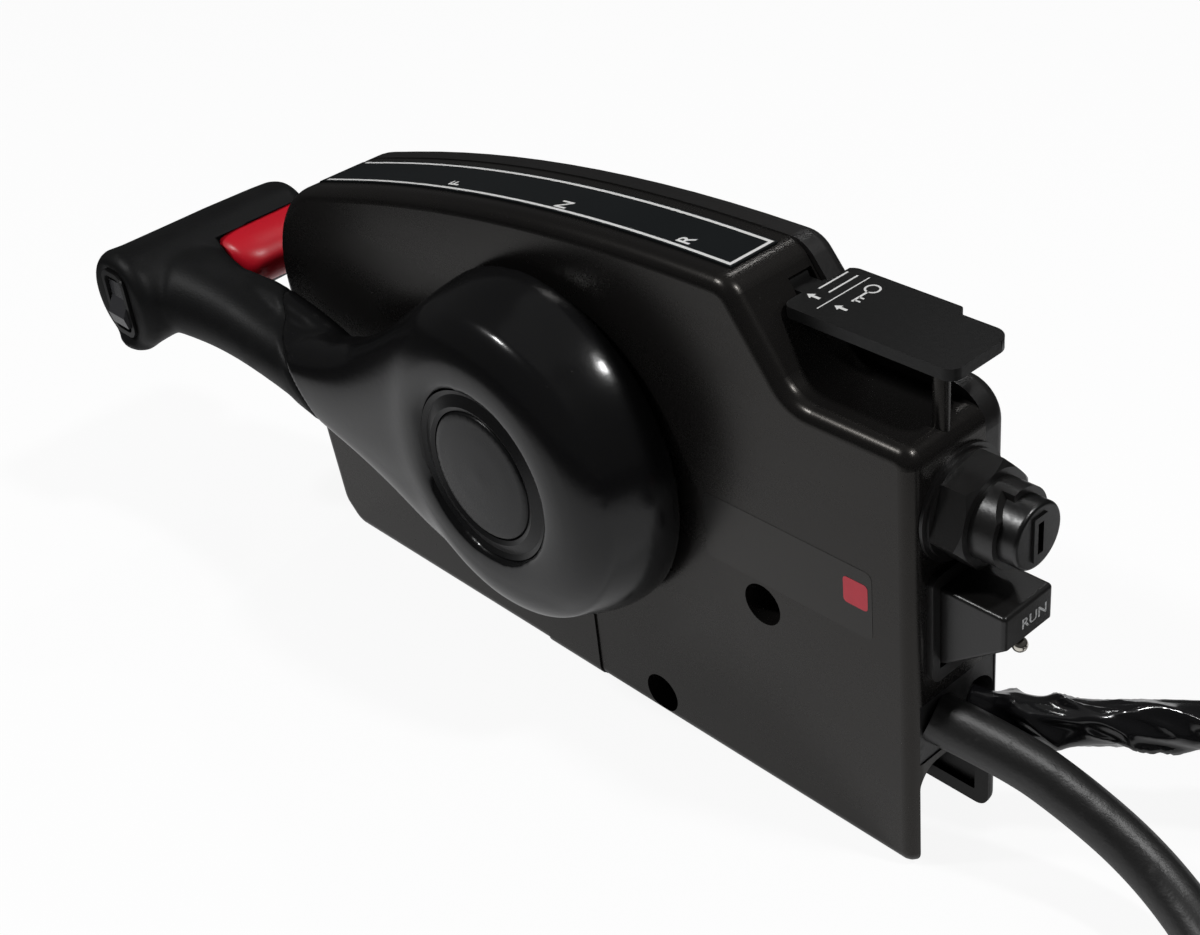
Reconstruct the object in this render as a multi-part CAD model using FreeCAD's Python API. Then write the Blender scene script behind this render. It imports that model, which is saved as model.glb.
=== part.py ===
import FreeCAD, Part
import math
import os
from FreeCAD import Placement, Rotation, Vector

# Side-mount engine control box with a swinging lever, millimetres, +Z up.
# The origin is on the rest face, under the lever shaft, half way through the depth of the case.
# The lever shaft runs along Y, the front of the case faces -Y and the key end faces +X.

# Case
CASE_DEPTH = 38.0
FRONT_DEPTH = 29.0
WALL = 3.0
KEY_END_X = 136.6
SHELF_Z = 140.0
SHELF_STEP = 28.0
EDGE_ROUND = 4.4
BACK_ROUND = (CASE_DEPTH - FRONT_DEPTH) / 2.25
LIP_HEIGHT = 2.6
LIP_THICKNESS = 1.5
FIT_GAP = 0.3
FRONT_Y = -CASE_DEPTH / 2
BACK_Y = CASE_DEPTH / 2
PART_Y = FRONT_Y + FRONT_DEPTH

# Lever shaft and what turns with it
SHAFT_Z = 92.0
SHAFT_R = 9.0
RUN_GAP = 0.05
BUSH_WALL = 3.0
HANDLE_TRAVEL = 135.0
NEUTRAL_AT = 92.0
GEAR_SHIFT_AT = 35.0
HUB_R = 55.5
HUB_BACK_Y = FRONT_Y - 2.0
HUB_FACE_Y = -50.0
HUB_WALL = 9.0
CAP_RECESS_R = 28.0
CAP_R = 21.0
GRIP_X = -180.5
GRIP_Z = 96.0
GRIP_NEAR_Y = -64.0
GRIP_FAR_Y = 14.5
GRIP_NEAR_R = 18.5
GRIP_FAR_R = 15.2
ARM_Y = -36.5

# Gear train, groove cam and detent
MODULE = 2.0
DRIVE_TEETH = 18
SHIFT_TEETH = 36
BACKLASH = 0.4
GEAR_WIDTH = 7.0
SHIFT_PIVOT_DIR = -100.0
SHIFT_ARM = 26.0
PIVOT_PIN_R = 4.0
CAM_CLEARANCE = 6.0
CAM_R = MODULE * (DRIVE_TEETH + SHIFT_TEETH) / 2 - PIVOT_PIN_R - CAM_CLEARANCE
CAM_WIDTH = 7.0
GROOVE_DEPTH = 3.5
ROLLER_R = 3.0
THROTTLE_PIVOT_DIR = 25.0
THROTTLE_PIVOT_DIST = 1.5 * CAM_R
THROTTLE_ARM = CAM_R
THROTTLE_OPEN_DEG = 32.0
THROTTLE_RATIO = 0.16
THROTTLE_CABLE_ARM = 31.0
THROTTLE_PIN_SEAT = 9.0
LEVER_WIDTH = 4.0
DETENT_R = 22.0
DETENT_WIDTH = 5.0
DETENT_BALL_R = 2.5
DETENT_DIR = -45.0
DETENT_TRAVEL = 1.2

# Neutral lock
TRIGGER_TRAVEL = 6.0
TRIGGER_OUT_X = -150.0
TRIGGER_DEPTH = 22.0
TRIGGER_HEIGHT = 22.0
TRIGGER_FAR_Y = 9.0
TRIGGER_NEAR_Y = -27.0
ROD_R = 2.0
ROD_Y = -33.0
ROD_Z = 90.0
GATE_R = 26.0
GATE_INNER_R = 18.5
GATE_HEIGHT = 8.0
LOCK_PIN_WIDTH = 5.6

# Ignition and choke switch
KEY_Z = 117.0
WASHER_R = 16.3
WASHER_T = 1.0
NUT_ACROSS_FLATS = 26.6
NUT_T = 9.0
BARREL_R = 11.25
BARREL_END = 18.4
KEY_CYLINDER_R = 9.35
KEY_FACE = 24.0
CHOKE_TRAVEL = 3.0

# Stop switch
STOP_PIVOT_Z = 83.0
STOP_PIVOT_IN = 2.6
STOP_DRUM_R = 13.0
STOP_WIDTH = 20.0
STOP_REACH = 22.0
STOP_FACE_H = 10.5

# Fast-idle lever
IDLE_PIVOT_X = 76.0
IDLE_PIVOT_Z = SHELF_Z + SHELF_STEP - 10.0
IDLE_PLATE_T = 3.3
IDLE_PLATE_Z = IDLE_PIVOT_Z - 2.0
IDLE_END_X = 139.6
IDLE_NEAR_Y = -7.0
IDLE_FAR_Y = 19.5
IDLE_TRAVEL = 22.0

# Mounting holes through the case: x, z of each
BOLT_HOLES = [(82.9, 68.1), (36.0, 9.2), (-108.0, 60.0)]
BOLT_HOLE_R = 3.4
BOLT_RECESS_R = 6.7
BOLT_RECESS_DEPTH = 13.0
BOLT_BOSS_WALL = 2.2
COVER_SCREWS = [(-119.0, 22.0), (-100.0, 126.0), (44.0, 150.0), (102.0, 20.0)]
SCREW_R = 1.6
SCREW_HEAD_R = 3.6

# Cables
CABLE_R = 7.3
SLEEVED_R = 6.8

PARTS = {}


def polar(radius, degrees):
    a = math.radians(degrees)
    return radius * math.cos(a), radius * math.sin(a)


def add(name, shape):
    PARTS[name] = shape


def cyl_y(x, z, radius, y0, y1):
    return Part.makeCylinder(radius, y1 - y0, Vector(x, y0, z), Vector(0, 1, 0))


def cyl_x(y, z, radius, x0, x1):
    return Part.makeCylinder(radius, x1 - x0, Vector(x0, y, z), Vector(1, 0, 0))


def block(x0, x1, y0, y1, z0, z1):
    return Part.makeBox(x1 - x0, y1 - y0, z1 - z0, Vector(x0, y0, z0))


def turn_y(shape, x, z, degrees):
    """a copy turned about the line along Y through x, z, positive from +Z towards +X"""
    out = shape.copy()
    out.rotate(Vector(x, 0, z), Vector(0, 1, 0), degrees)
    return out


# An outline is a list of corners (x, z, radius), anticlockwise seen from the front,
# and each corner is rounded by an arc tangent to its two sides.
def inset(corners, distance):
    """the same outline moved inwards by a distance, with each corner's arc kept concentric"""
    count = len(corners)
    out = []
    for i in range(count):
        x0, z0, _ = corners[i - 1]
        x1, z1, r = corners[i]
        x2, z2, _ = corners[(i + 1) % count]
        a = Vector(x1 - x0, 0, z1 - z0).normalize()
        b = Vector(x2 - x1, 0, z2 - z1).normalize()
        cross = a.x * b.z - a.z * b.x
        half = math.atan2(cross, a.dot(b)) / 2
        inward = Vector(-a.z - b.z, 0, a.x + b.x).normalize()
        shift = distance / math.cos(half)
        radius = max(r - distance, 0.6) if cross > 0 else r + distance
        out.append((x1 + inward.x * shift, z1 + inward.z * shift, radius))
    return out


def outline_face(corners, y):
    count = len(corners)
    arcs = []
    for i in range(count):
        x0, z0, _ = corners[i - 1]
        x1, z1, r = corners[i]
        x2, z2, _ = corners[(i + 1) % count]
        a = Vector(x1 - x0, 0, z1 - z0).normalize()
        b = Vector(x2 - x1, 0, z2 - z1).normalize()
        half = abs(math.atan2(a.x * b.z - a.z * b.x, a.dot(b))) / 2
        corner = Vector(x1, y, z1)
        reach = r * math.tan(half)
        middle = corner + (b - a).normalize() * (r / math.cos(half) - r)
        arcs.append((corner - a * reach, middle, corner + b * reach))
    edges = []
    for i, (start, middle, end) in enumerate(arcs):
        last = arcs[i - 1][2]
        if (start - last).Length > 1e-4:
            edges.append(Part.LineSegment(last, start).toShape())
        edges.append(Part.Arc(start, middle, end).toShape())
    return Part.Face(Part.Wire(edges))


def prism(corners, y0, y1):
    return outline_face(corners, y0).extrude(Vector(0, y1 - y0, 0))


def revolve_y(points, x, z):
    """a body turned about the line along Y through x, z, from (radius, y) points"""
    wire = Part.makePolygon([Vector(x + r, y, z) for r, y in points + points[:1]])
    return Part.Face(wire).revolve(Vector(x, 0, z), Vector(0, 1, 0), 360)


# Outlines of the case
SHELF_X = 97.0
ARCH_END_X = 76.2
ARCH_END_Z = SHELF_Z + SHELF_STEP
ARCH_MID_X = -16.8
ARCH_MID_Z = ARCH_END_Z - 1.6
ARCH_R = 690.0
NOSE_X = -146.75
NOSE_Z = 132.0
NOSE_R = 41.0
CASE_OUTLINE = [
    (KEY_END_X, 0.0, 4.5),
    (KEY_END_X, SHELF_Z, 5.5),
    (SHELF_X, SHELF_Z, 12.0),
    (ARCH_END_X, ARCH_END_Z, 9.0),
    (ARCH_MID_X, ARCH_MID_Z, ARCH_R),
    (NOSE_X, NOSE_Z, NOSE_R),
    (-139.7, 43.5, 120.0),
    (-135.0, 8.0, 9.0),
    (-127.0, 0.0, 9.0),
]
BACK_RISE = 3.5
BACK_OUTLINE = [
    (KEY_END_X, 0.0, 4.5),
    (KEY_END_X, SHELF_Z + BACK_RISE, 11.0),
    (SHELF_X + 1.0, SHELF_Z + BACK_RISE, 10.0),
    (ARCH_END_X + 1.5, ARCH_END_Z + 0.4, 10.0),
    (ARCH_MID_X, ARCH_MID_Z + 0.8, ARCH_R),
    (NOSE_X, NOSE_Z, NOSE_R),
    (-139.7, 43.5, 120.0),
    (-135.0, 8.0, 9.0),
    (-127.0, 0.0, 9.0),
]

# Cable window and foot arch in the key end
WINDOW_NEAR_Y = FRONT_Y + WALL
WINDOW_FAR_Y = BACK_Y - WALL
WINDOW_LOW_Z = 37.8
WINDOW_HIGH_Z = 58.6
ARCH_LOW_Y = FRONT_Y + WALL
ARCH_HIGH_Y = 14.0
ARCH_TOP_Z = 35.5
ARCH_ROUND = 7.0
FLOOR_OPEN_X = 113.0

# Cover strip in the front, below the hub
ACCESS_X0 = -18.4
ACCESS_X1 = 7.4
ACCESS_TOP = 33.0
ACCESS_PROUD = 0.6
ACCESS_GAP = 0.25

BUSH_R = SHAFT_R + BUSH_WALL
SHAFT_BOSS_R = BUSH_R + 4.0
GEAR_Y = FRONT_Y + WALL + 3.6
GEAR_END_Y = GEAR_Y + GEAR_WIDTH
CAM_Y = GEAR_END_Y + 1.0
CAM_END_Y = CAM_Y + CAM_WIDTH
LEVER_Y = CAM_END_Y + 0.8
DETENT_Y = LEVER_Y + LEVER_WIDTH + 0.8
DETENT_END_Y = DETENT_Y + DETENT_WIDTH
INNER_BACK_Y = BACK_Y - WALL
INNER_FRONT_Y = FRONT_Y + WALL
DRIVE_PITCH_R = MODULE * DRIVE_TEETH / 2
SHIFT_PITCH_R = MODULE * SHIFT_TEETH / 2
SHIFT_X, SHIFT_DZ = polar(DRIVE_PITCH_R + SHIFT_PITCH_R, SHIFT_PIVOT_DIR)
SHIFT_Z = SHAFT_Z + SHIFT_DZ
THROTTLE_X, THROTTLE_DZ = polar(THROTTLE_PIVOT_DIST, THROTTLE_PIVOT_DIR)
THROTTLE_Z = SHAFT_Z + THROTTLE_DZ
PIVOT_BOSS_R = PIVOT_PIN_R + 3.0


def key_end_cuts():
    """cable window, arch below it and the open floor behind the arch"""
    x0 = KEY_END_X - WALL - 2.0
    x1 = KEY_END_X + 1.0
    window = block(x0, x1, WINDOW_NEAR_Y, WINDOW_FAR_Y, WINDOW_LOW_Z, WINDOW_HIGH_Z)
    arch = block(x0, x1, ARCH_LOW_Y, ARCH_HIGH_Y, -1.0, ARCH_TOP_Z)
    top = [e for e in arch.Edges if e.BoundBox.ZMin > ARCH_TOP_Z - 0.1 and e.BoundBox.XLength > 1.0]
    arch = arch.makeFillet(ARCH_ROUND, top)
    floor = block(FLOOR_OPEN_X, x1, ARCH_LOW_Y, ARCH_HIGH_Y, -1.0, WALL + LIP_THICKNESS + 1.0)
    return window.multiFuse([arch, floor])


def outer_front():
    body = prism(CASE_OUTLINE, FRONT_Y, PART_Y)
    rim = [e for e in body.Edges if e.BoundBox.YMax < FRONT_Y + 0.01]
    return body.makeFillet(EDGE_ROUND, rim)


def bolt_boss(x, z, y0, y1):
    return cyl_y(x, z, BOLT_RECESS_R + BOLT_BOSS_WALL, y0, y1)


def front_housing(outer):
    cavity = prism(inset(CASE_OUTLINE, WALL), INNER_FRONT_Y, PART_Y)
    shell = outer.cut(cavity)
    bosses = [bolt_boss(x, z, INNER_FRONT_Y, PART_Y) for x, z in BOLT_HOLES]
    bosses += [cyl_y(x, z, SCREW_R + 2.9, INNER_FRONT_Y, PART_Y) for x, z in COVER_SCREWS]
    bosses.append(cyl_y(0, SHAFT_Z, SHAFT_BOSS_R, INNER_FRONT_Y, GEAR_Y - 1.2))
    bosses.append(cyl_y(SHIFT_X, SHIFT_Z, PIVOT_BOSS_R, INNER_FRONT_Y, GEAR_Y - FIT_GAP))
    bosses.append(cyl_y(THROTTLE_X, THROTTLE_Z, PIVOT_BOSS_R, INNER_FRONT_Y, LEVER_Y - FIT_GAP))
    bosses.append(cyl_y(IDLE_PIVOT_X, IDLE_PIVOT_Z, 5.0, INNER_FRONT_Y, IDLE_ARM_Y0 - FIT_GAP))
    rest_post = Part.makeCylinder(2.3, IDLE_PLATE_Z - SHELF_Z + WALL - FIT_GAP,
                                  Vector(IDLE_END_X - 7.0, IDLE_NEAR_Y + 4.5, SHELF_Z - WALL))
    ribs = [block(-96.0, -93.5, INNER_FRONT_Y, INNER_FRONT_Y + 6, 2.0, 40.0),
            block(-60.0, -57.5, INNER_FRONT_Y, INNER_FRONT_Y + 6, 2.0, 60.0),
            block(60.0, 62.5, INNER_FRONT_Y, INNER_FRONT_Y + 6, 2.0, 60.0),
            block(-60.0, -57.5, INNER_FRONT_Y, INNER_FRONT_Y + 6, 120.0, 151.0)]
    bosses_in = bosses[0].multiFuse(bosses[1:] + ribs).common(outer)
    body = shell.fuse([bosses_in, rest_post])
    cuts = [cyl_y(x, z, BOLT_RECESS_R, FRONT_Y - 1, FRONT_Y + BOLT_RECESS_DEPTH) for x, z in BOLT_HOLES]
    cuts += [cyl_y(x, z, BOLT_HOLE_R + 1.0, FRONT_Y, PART_Y + 1) for x, z in BOLT_HOLES]
    cuts += [cyl_y(x, z, SCREW_R, INNER_FRONT_Y + 4, PART_Y + 1) for x, z in COVER_SCREWS]
    cuts.append(cyl_y(0, SHAFT_Z, BUSH_R, FRONT_Y - 1, GEAR_Y))
    cuts.append(cyl_y(SHIFT_X, SHIFT_Z, PIVOT_PIN_R, INNER_FRONT_Y, GEAR_Y))
    cuts.append(cyl_y(THROTTLE_X, THROTTLE_Z, PIVOT_PIN_R, LEVER_Y - THROTTLE_PIN_SEAT, LEVER_Y))
    cuts.append(cyl_y(IDLE_PIVOT_X, IDLE_PIVOT_Z, IDLE_PIN_R, IDLE_ARM_Y0 - 8.0, IDLE_ARM_Y0))
    cuts.append(idle_slot())
    cuts.append(key_end_cuts())
    cuts.append(cyl_x(0, KEY_Z, BARREL_R + FIT_GAP, KEY_END_X - WALL - 2, KEY_END_X + 1))
    cuts.append(stop_window())
    cuts.append(block(ACCESS_X0, ACCESS_X1, FRONT_Y - 1, INNER_FRONT_Y, -1.0, ACCESS_TOP))
    cuts.append(block(ACCESS_X0, ACCESS_X1, FRONT_Y - 1, FRONT_Y + 12.0, -1.0, WALL))
    return body.cut(cuts[0].multiFuse(cuts[1:])).removeSplitter()


def back_cover():
    outer = prism(BACK_OUTLINE, PART_Y, BACK_Y)
    rim = [e for e in outer.Edges if e.BoundBox.YMin > BACK_Y - 0.01]
    outer = outer.makeFillet(BACK_ROUND, rim)
    lip_outer = inset(CASE_OUTLINE, WALL + FIT_GAP)
    lip_inner = inset(CASE_OUTLINE, WALL + FIT_GAP + LIP_THICKNESS)
    pocket = prism(lip_inner, PART_Y - LIP_HEIGHT, INNER_BACK_Y)
    lip = prism(lip_outer, PART_Y - LIP_HEIGHT, PART_Y)
    shelf_top = prism(inset(CASE_OUTLINE, WALL + FIT_GAP + LIP_THICKNESS), PART_Y, INNER_BACK_Y)
    bosses = [bolt_boss(x, z, PART_Y, BACK_Y) for x, z in BOLT_HOLES]
    bosses += [cyl_y(x, z, SCREW_R + 2.9, PART_Y, BACK_Y) for x, z in COVER_SCREWS]
    bosses.append(cyl_y(0, SHAFT_Z, SHAFT_BOSS_R, DETENT_END_Y + 0.6, BACK_Y))
    bosses.append(cyl_y(SHIFT_X, SHIFT_Z, PIVOT_BOSS_R, GEAR_END_Y + FIT_GAP, BACK_Y))
    bosses.append(cyl_y(THROTTLE_X, THROTTLE_Z, PIVOT_BOSS_R, LEVER_Y + LEVER_WIDTH + FIT_GAP, BACK_Y))
    lip_cuts = [cyl_y(x, z, BOLT_RECESS_R + BOLT_BOSS_WALL + FIT_GAP, PART_Y - LIP_HEIGHT, PART_Y)
                for x, z in BOLT_HOLES]
    lip_cuts += [cyl_y(x, z, SCREW_R + 2.9 + FIT_GAP, PART_Y - LIP_HEIGHT, PART_Y) for x, z in COVER_SCREWS]
    lip_cuts.append(block(IDLE_PIVOT_X - 8.0, SHELF_X + 2.0, 0.0, PART_Y, SHELF_Z, ARCH_END_Z + 1))
    lip_cuts.append(cyl_x(0, KEY_Z, SWITCH_R + FIT_GAP, KEY_END_X - 45, KEY_END_X + 1))
    lip_cuts.append(block(KEY_END_X - 12, KEY_END_X, -20, PART_Y, STOP_PIVOT_Z - 19, STOP_PIVOT_Z + 19))
    lip = lip.cut(lip_cuts[0].multiFuse(lip_cuts[1:]))
    body = outer.fuse(lip).cut(pocket.fuse(shelf_top))
    body = body.fuse(bosses[0].multiFuse(bosses[1:]))
    cuts = [cyl_y(x, z, BOLT_HOLE_R + 1.0, PART_Y - 1, BACK_Y + 1) for x, z in BOLT_HOLES]
    cuts += [cyl_y(x, z, SCREW_R + 0.2, PART_Y - 1, BACK_Y + 1) for x, z in COVER_SCREWS]
    cuts += [cyl_y(x, z, SCREW_HEAD_R + FIT_GAP, BACK_Y - 2.6, BACK_Y + 1) for x, z in COVER_SCREWS]
    cuts.append(cyl_y(0, SHAFT_Z, BUSH_R, DETENT_END_Y, BACK_Y - 1.4))
    cuts.append(cyl_y(SHIFT_X, SHIFT_Z, PIVOT_PIN_R, GEAR_END_Y, BACK_Y - 4.0))
    cuts.append(cyl_y(THROTTLE_X, THROTTLE_Z, PIVOT_PIN_R, LEVER_Y, BACK_Y - 4.0))
    cuts.append(key_end_cuts())
    cuts.append(idle_slot())
    cuts.append(cyl_x(0, KEY_Z, BARREL_R + FIT_GAP, KEY_END_X - WALL - 4, KEY_END_X + 1))
    cuts.append(cyl_x(0, KEY_Z, SWITCH_R + FIT_GAP, KEY_END_X - 45, KEY_END_X - WALL))
    cuts.append(stop_window())
    cuts.append(block(KEY_END_X - 12, KEY_END_X - WALL, PART_Y - 4, INNER_BACK_Y,
                      STOP_PIVOT_Z - 18, STOP_PIVOT_Z + 18))
    return body.cut(cuts[0].multiFuse(cuts[1:])).removeSplitter()


def access_cover(outer):
    x0 = ACCESS_X0 + ACCESS_GAP
    x1 = ACCESS_X1 - ACCESS_GAP
    region = block(x0, x1, FRONT_Y - 1, INNER_FRONT_Y, 0.0, ACCESS_TOP - ACCESS_GAP)
    foot = block(x0, x1, INNER_FRONT_Y - 1, FRONT_Y + 12.0 - ACCESS_GAP, 0.0, WALL)
    face = outer.common(region)
    face.translate(Vector(0, -ACCESS_PROUD, 0))
    hook = block(ACCESS_X1 - 8.5, ACCESS_X1 - 3, INNER_FRONT_Y - ACCESS_PROUD, INNER_FRONT_Y + 1.4,
                 ACCESS_TOP - 3.0, ACCESS_TOP - ACCESS_GAP)
    tongue = block(ACCESS_X1 - 8.5, ACCESS_X1 - 3, INNER_FRONT_Y, INNER_FRONT_Y + 1.4,
                   ACCESS_TOP - 3.0, ACCESS_TOP + 2.6)
    return face.fuse([foot, hook, tongue]).removeSplitter()


def scale_plate(outer):
    """thin strip let on to the arch, which carries the gear marks"""
    thick = 0.5
    skin = prism(inset(CASE_OUTLINE, -thick), SCALE_Y0, SCALE_Y1)
    skin = skin.cut(prism(CASE_OUTLINE, SCALE_Y0 - 1, SCALE_Y1 + 1))
    return skin.common(block(SCALE_X0, SCALE_X1, SCALE_Y0, SCALE_Y1, SHELF_Z - 12, ARCH_END_Z + 4))


SCALE_Y0 = -12.3
SCALE_Y1 = 5.6
SCALE_X0 = -118.0
SCALE_X1 = 72.5

# Mounting sleeves and cover screws
def mounting_sleeves():
    y0 = FRONT_Y + BOLT_RECESS_DEPTH
    sleeves = []
    for x, z in BOLT_HOLES:
        sleeve = cyl_y(x, z, BOLT_HOLE_R + 1.0, y0, BACK_Y)
        sleeve = sleeve.fuse(cyl_y(x, z, BOLT_RECESS_R - 0.6, y0 - 1.2, y0))
        sleeves.append(sleeve.cut(cyl_y(x, z, BOLT_HOLE_R, y0 - 2, BACK_Y + 1)))
    return Part.makeCompound(sleeves)


def cover_screws():
    screws = []
    for x, z in COVER_SCREWS:
        head = cyl_y(x, z, SCREW_HEAD_R, BACK_Y - 2.6, BACK_Y - 0.3)
        slot = block(x - SCREW_HEAD_R, x + SCREW_HEAD_R, BACK_Y - 1.3, BACK_Y, z - 0.5, z + 0.5)
        shank = cyl_y(x, z, SCREW_R, -8.0, BACK_Y - 2.6)
        screws.append(head.cut(slot).fuse(shank))
    return Part.makeCompound(screws)


# Shaft, bushes and the handle's hub
def bush(y0, y1, flange_y=None):
    body = cyl_y(0, SHAFT_Z, BUSH_R, y0, y1)
    if flange_y is not None:
        body = body.fuse(cyl_y(0, SHAFT_Z, BUSH_R + 2.5, flange_y, flange_y + 1.0))
    return body.cut(cyl_y(0, SHAFT_Z, SHAFT_R + RUN_GAP, y0 - 1, y1 + 2))


SHAFT_END_Y = HUB_FACE_Y + 10.0
SCREW_SEAT_R = 12.0


def control_shaft():
    shaft = cyl_y(0, SHAFT_Z, SHAFT_R, SHAFT_END_Y, BACK_Y - 1.8)
    return shaft.cut(cyl_y(0, SHAFT_Z, 4.0, SHAFT_END_Y, SHAFT_END_Y + 18.0))


def handle_screw():
    head = cyl_y(0, SHAFT_Z, SCREW_SEAT_R - 1.0, SHAFT_END_Y - 1.6, SHAFT_END_Y)
    hexagon = hex_y(0, SHAFT_Z, 13.0, SHAFT_END_Y - 3.8, SHAFT_END_Y - 1.6)
    return head.fuse([hexagon, cyl_y(0, SHAFT_Z, 4.0, SHAFT_END_Y, SHAFT_END_Y + 16.0)])


def hex_y(x, z, flats, y0, y1):
    r = flats / 2 / math.cos(math.radians(30))
    points = [Vector(x + polar(r, 60 * i)[0], y0, z + polar(r, 60 * i)[1]) for i in range(7)]
    return Part.Face(Part.makePolygon(points)).extrude(Vector(0, y1 - y0, 0))


def hub_body():
    """the dished cup of the handle, turned about the shaft"""
    x = 0.0
    rim = HUB_R
    points = [Vector(0, HUB_BACK_Y, 0), Vector(rim, HUB_BACK_Y, 0), Vector(rim + 0.3, HUB_BACK_Y - 5, 0),
              Vector(rim - 1.6, HUB_BACK_Y - 13, 0), Vector(rim - 5.5, HUB_FACE_Y + 6, 0),
              Vector(rim - 9.5, HUB_FACE_Y + 2.6, 0), Vector((rim + CAP_RECESS_R) / 2, HUB_FACE_Y + 0.5, 0),
              Vector(CAP_RECESS_R, HUB_FACE_Y - 0.2, 0), Vector(0, HUB_FACE_Y - 0.2, 0)]

    def at(p):
        return Vector(x + p.x, p.y, SHAFT_Z)
    side = Part.BSplineCurve()
    side.interpolate([at(p) for p in points[1:5]])
    crown = Part.BSplineCurve()
    crown.interpolate([at(p) for p in points[4:8]])
    edges = [Part.LineSegment(at(points[0]), at(points[1])).toShape(), side.toShape(), crown.toShape(),
             Part.LineSegment(at(points[7]), at(points[8])).toShape(),
             Part.LineSegment(at(points[8]), at(points[0])).toShape()]
    return Part.Face(Part.Wire(edges)).revolve(Vector(0, 0, SHAFT_Z), Vector(0, 1, 0), 360)


def oval(x, y, z, half_y, half_z):
    """an upright oval across the arm"""
    if half_z > half_y:
        ring = Part.Ellipse(Vector(x, y, z + half_z), Vector(x, y + half_y, z), Vector(x, y, z))
    else:
        ring = Part.Ellipse(Vector(x, y + half_y, z), Vector(x, y, z - half_z), Vector(x, y, z))
    return Part.Wire([ring.toShape()])


# Stations along the arm from the hub to the grip: x, centre y, centre z, half width, half height
ARM_STATIONS = [
    (-20.0, -33.5, 85.0, 12.0, 45.0),
    (-46.0, -34.5, 84.0, 12.6, 38.0),
    (-72.0, -36.0, 82.5, 12.6, 22.5),
    (-96.0, -36.8, 84.0, 12.2, 14.0),
    (-124.0, -37.4, 87.5, 12.0, 12.0),
    (-148.0, -38.4, 92.0, 14.0, 13.5),
    (-168.0, -39.5, 95.0, 19.0, 15.2),
    (-180.5, -40.0, 96.0, 22.0, 15.4),
]
SEAM_POINT = Vector(-104.0, -38.0, 82.0)
SEAM_NORMAL = Vector(1.0, 0.75, 0.75)
TANG_R = 7.5
TANG_Y = -37.0
TANG_Z = 88.0
TANG_END_X = -160.0
TANG_START_X = SEAM_POINT.x + 20.0


def arm_body():
    return Part.makeLoft([oval(*s) for s in ARM_STATIONS], True, False)


def behind_seam(offset=0.0):
    """a block that fills the hub's side of the seam between casting and sleeve"""
    size = 400.0
    big = Part.makeBox(size, size, size, Vector(0, -size / 2, -size / 2))
    point = SEAM_POINT + Vector(SEAM_NORMAL).normalize() * offset
    big.Placement = Placement(point, Rotation(Vector(1, 0, 0), SEAM_NORMAL))
    return big


def handle_casting(arm):
    tang = cyl_x(TANG_Y, TANG_Z, TANG_R, TANG_END_X, TANG_START_X)
    body = hub_body().fuse(arm.common(behind_seam())).fuse(tang)
    cavity_y = HUB_FACE_Y + 11.0
    ring = cyl_y(0, SHAFT_Z, HUB_R - HUB_WALL, cavity_y, HUB_BACK_Y + 1)
    ring = ring.cut(cyl_y(0, SHAFT_Z, SHAFT_BOSS_R, cavity_y - 1, HUB_BACK_Y + 2))
    cuts = [ring,
            cyl_y(0, SHAFT_Z, SHAFT_R, SHAFT_END_Y, HUB_BACK_Y + 1),
            cyl_y(0, SHAFT_Z, SCREW_SEAT_R, CAP_FLOOR_Y, SHAFT_END_Y),
            cyl_y(0, SHAFT_Z, CAP_RECESS_R, HUB_FACE_Y - 5, CAP_FLOOR_Y),
            cyl_x(ROD_Y, ROD_Z, ROD_R + FIT_GAP, TANG_END_X - 1, -40.0),
            block(-140.0, 10.0, HUB_BACK_Y, 20.0, 0.0, 160.0)]
    return body.cut(cuts[0].multiFuse(cuts[1:])).removeSplitter()


CAP_FLOOR_Y = HUB_FACE_Y + 4.4


def hub_ring():
    inner = CAP_R + 0.3
    outer = CAP_RECESS_R - 0.2
    points = [(inner, CAP_FLOOR_Y), (outer, CAP_FLOOR_Y), (outer, HUB_FACE_Y + 0.9),
              (outer - 1.6, HUB_FACE_Y + 1.7), (inner + 1.4, HUB_FACE_Y + 0.4), (inner, HUB_FACE_Y + 1.0)]
    return revolve_y(points, 0, SHAFT_Z)


def hub_cap():
    crown = HUB_FACE_Y - 0.4
    points = [(0, CAP_FLOOR_Y), (CAP_R, CAP_FLOOR_Y), (CAP_R, HUB_FACE_Y + 1.2),
              (CAP_R - 0.8, HUB_FACE_Y + 0.5),
              (CAP_R * 0.6, crown + 0.4), (0, crown)]
    return revolve_y(points, 0, SHAFT_Z)


# Grip, its end fitting and the trim rocker
ROCKER_H = 21.0
ROCKER_W = 11.0
ROCKER_DEPTH = 8.0
BEZEL_T = 1.6
BEZEL_RIM = 2.0
TRIM_PIVOT_Y = GRIP_NEAR_Y + 3.0
TRIM_PIN_R = 1.2
TRIM_PIN_HALF = ROCKER_W / 2 + 1.5


def round_box_y(x, z, width, height, y0, y1, radius):
    """an upright bar along Y with rounded corners"""
    corners = [(x - width / 2, z - height / 2, radius), (x + width / 2, z - height / 2, radius),
               (x + width / 2, z + height / 2, radius), (x - width / 2, z + height / 2, radius)]
    return prism(corners, y0, y1)


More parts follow.
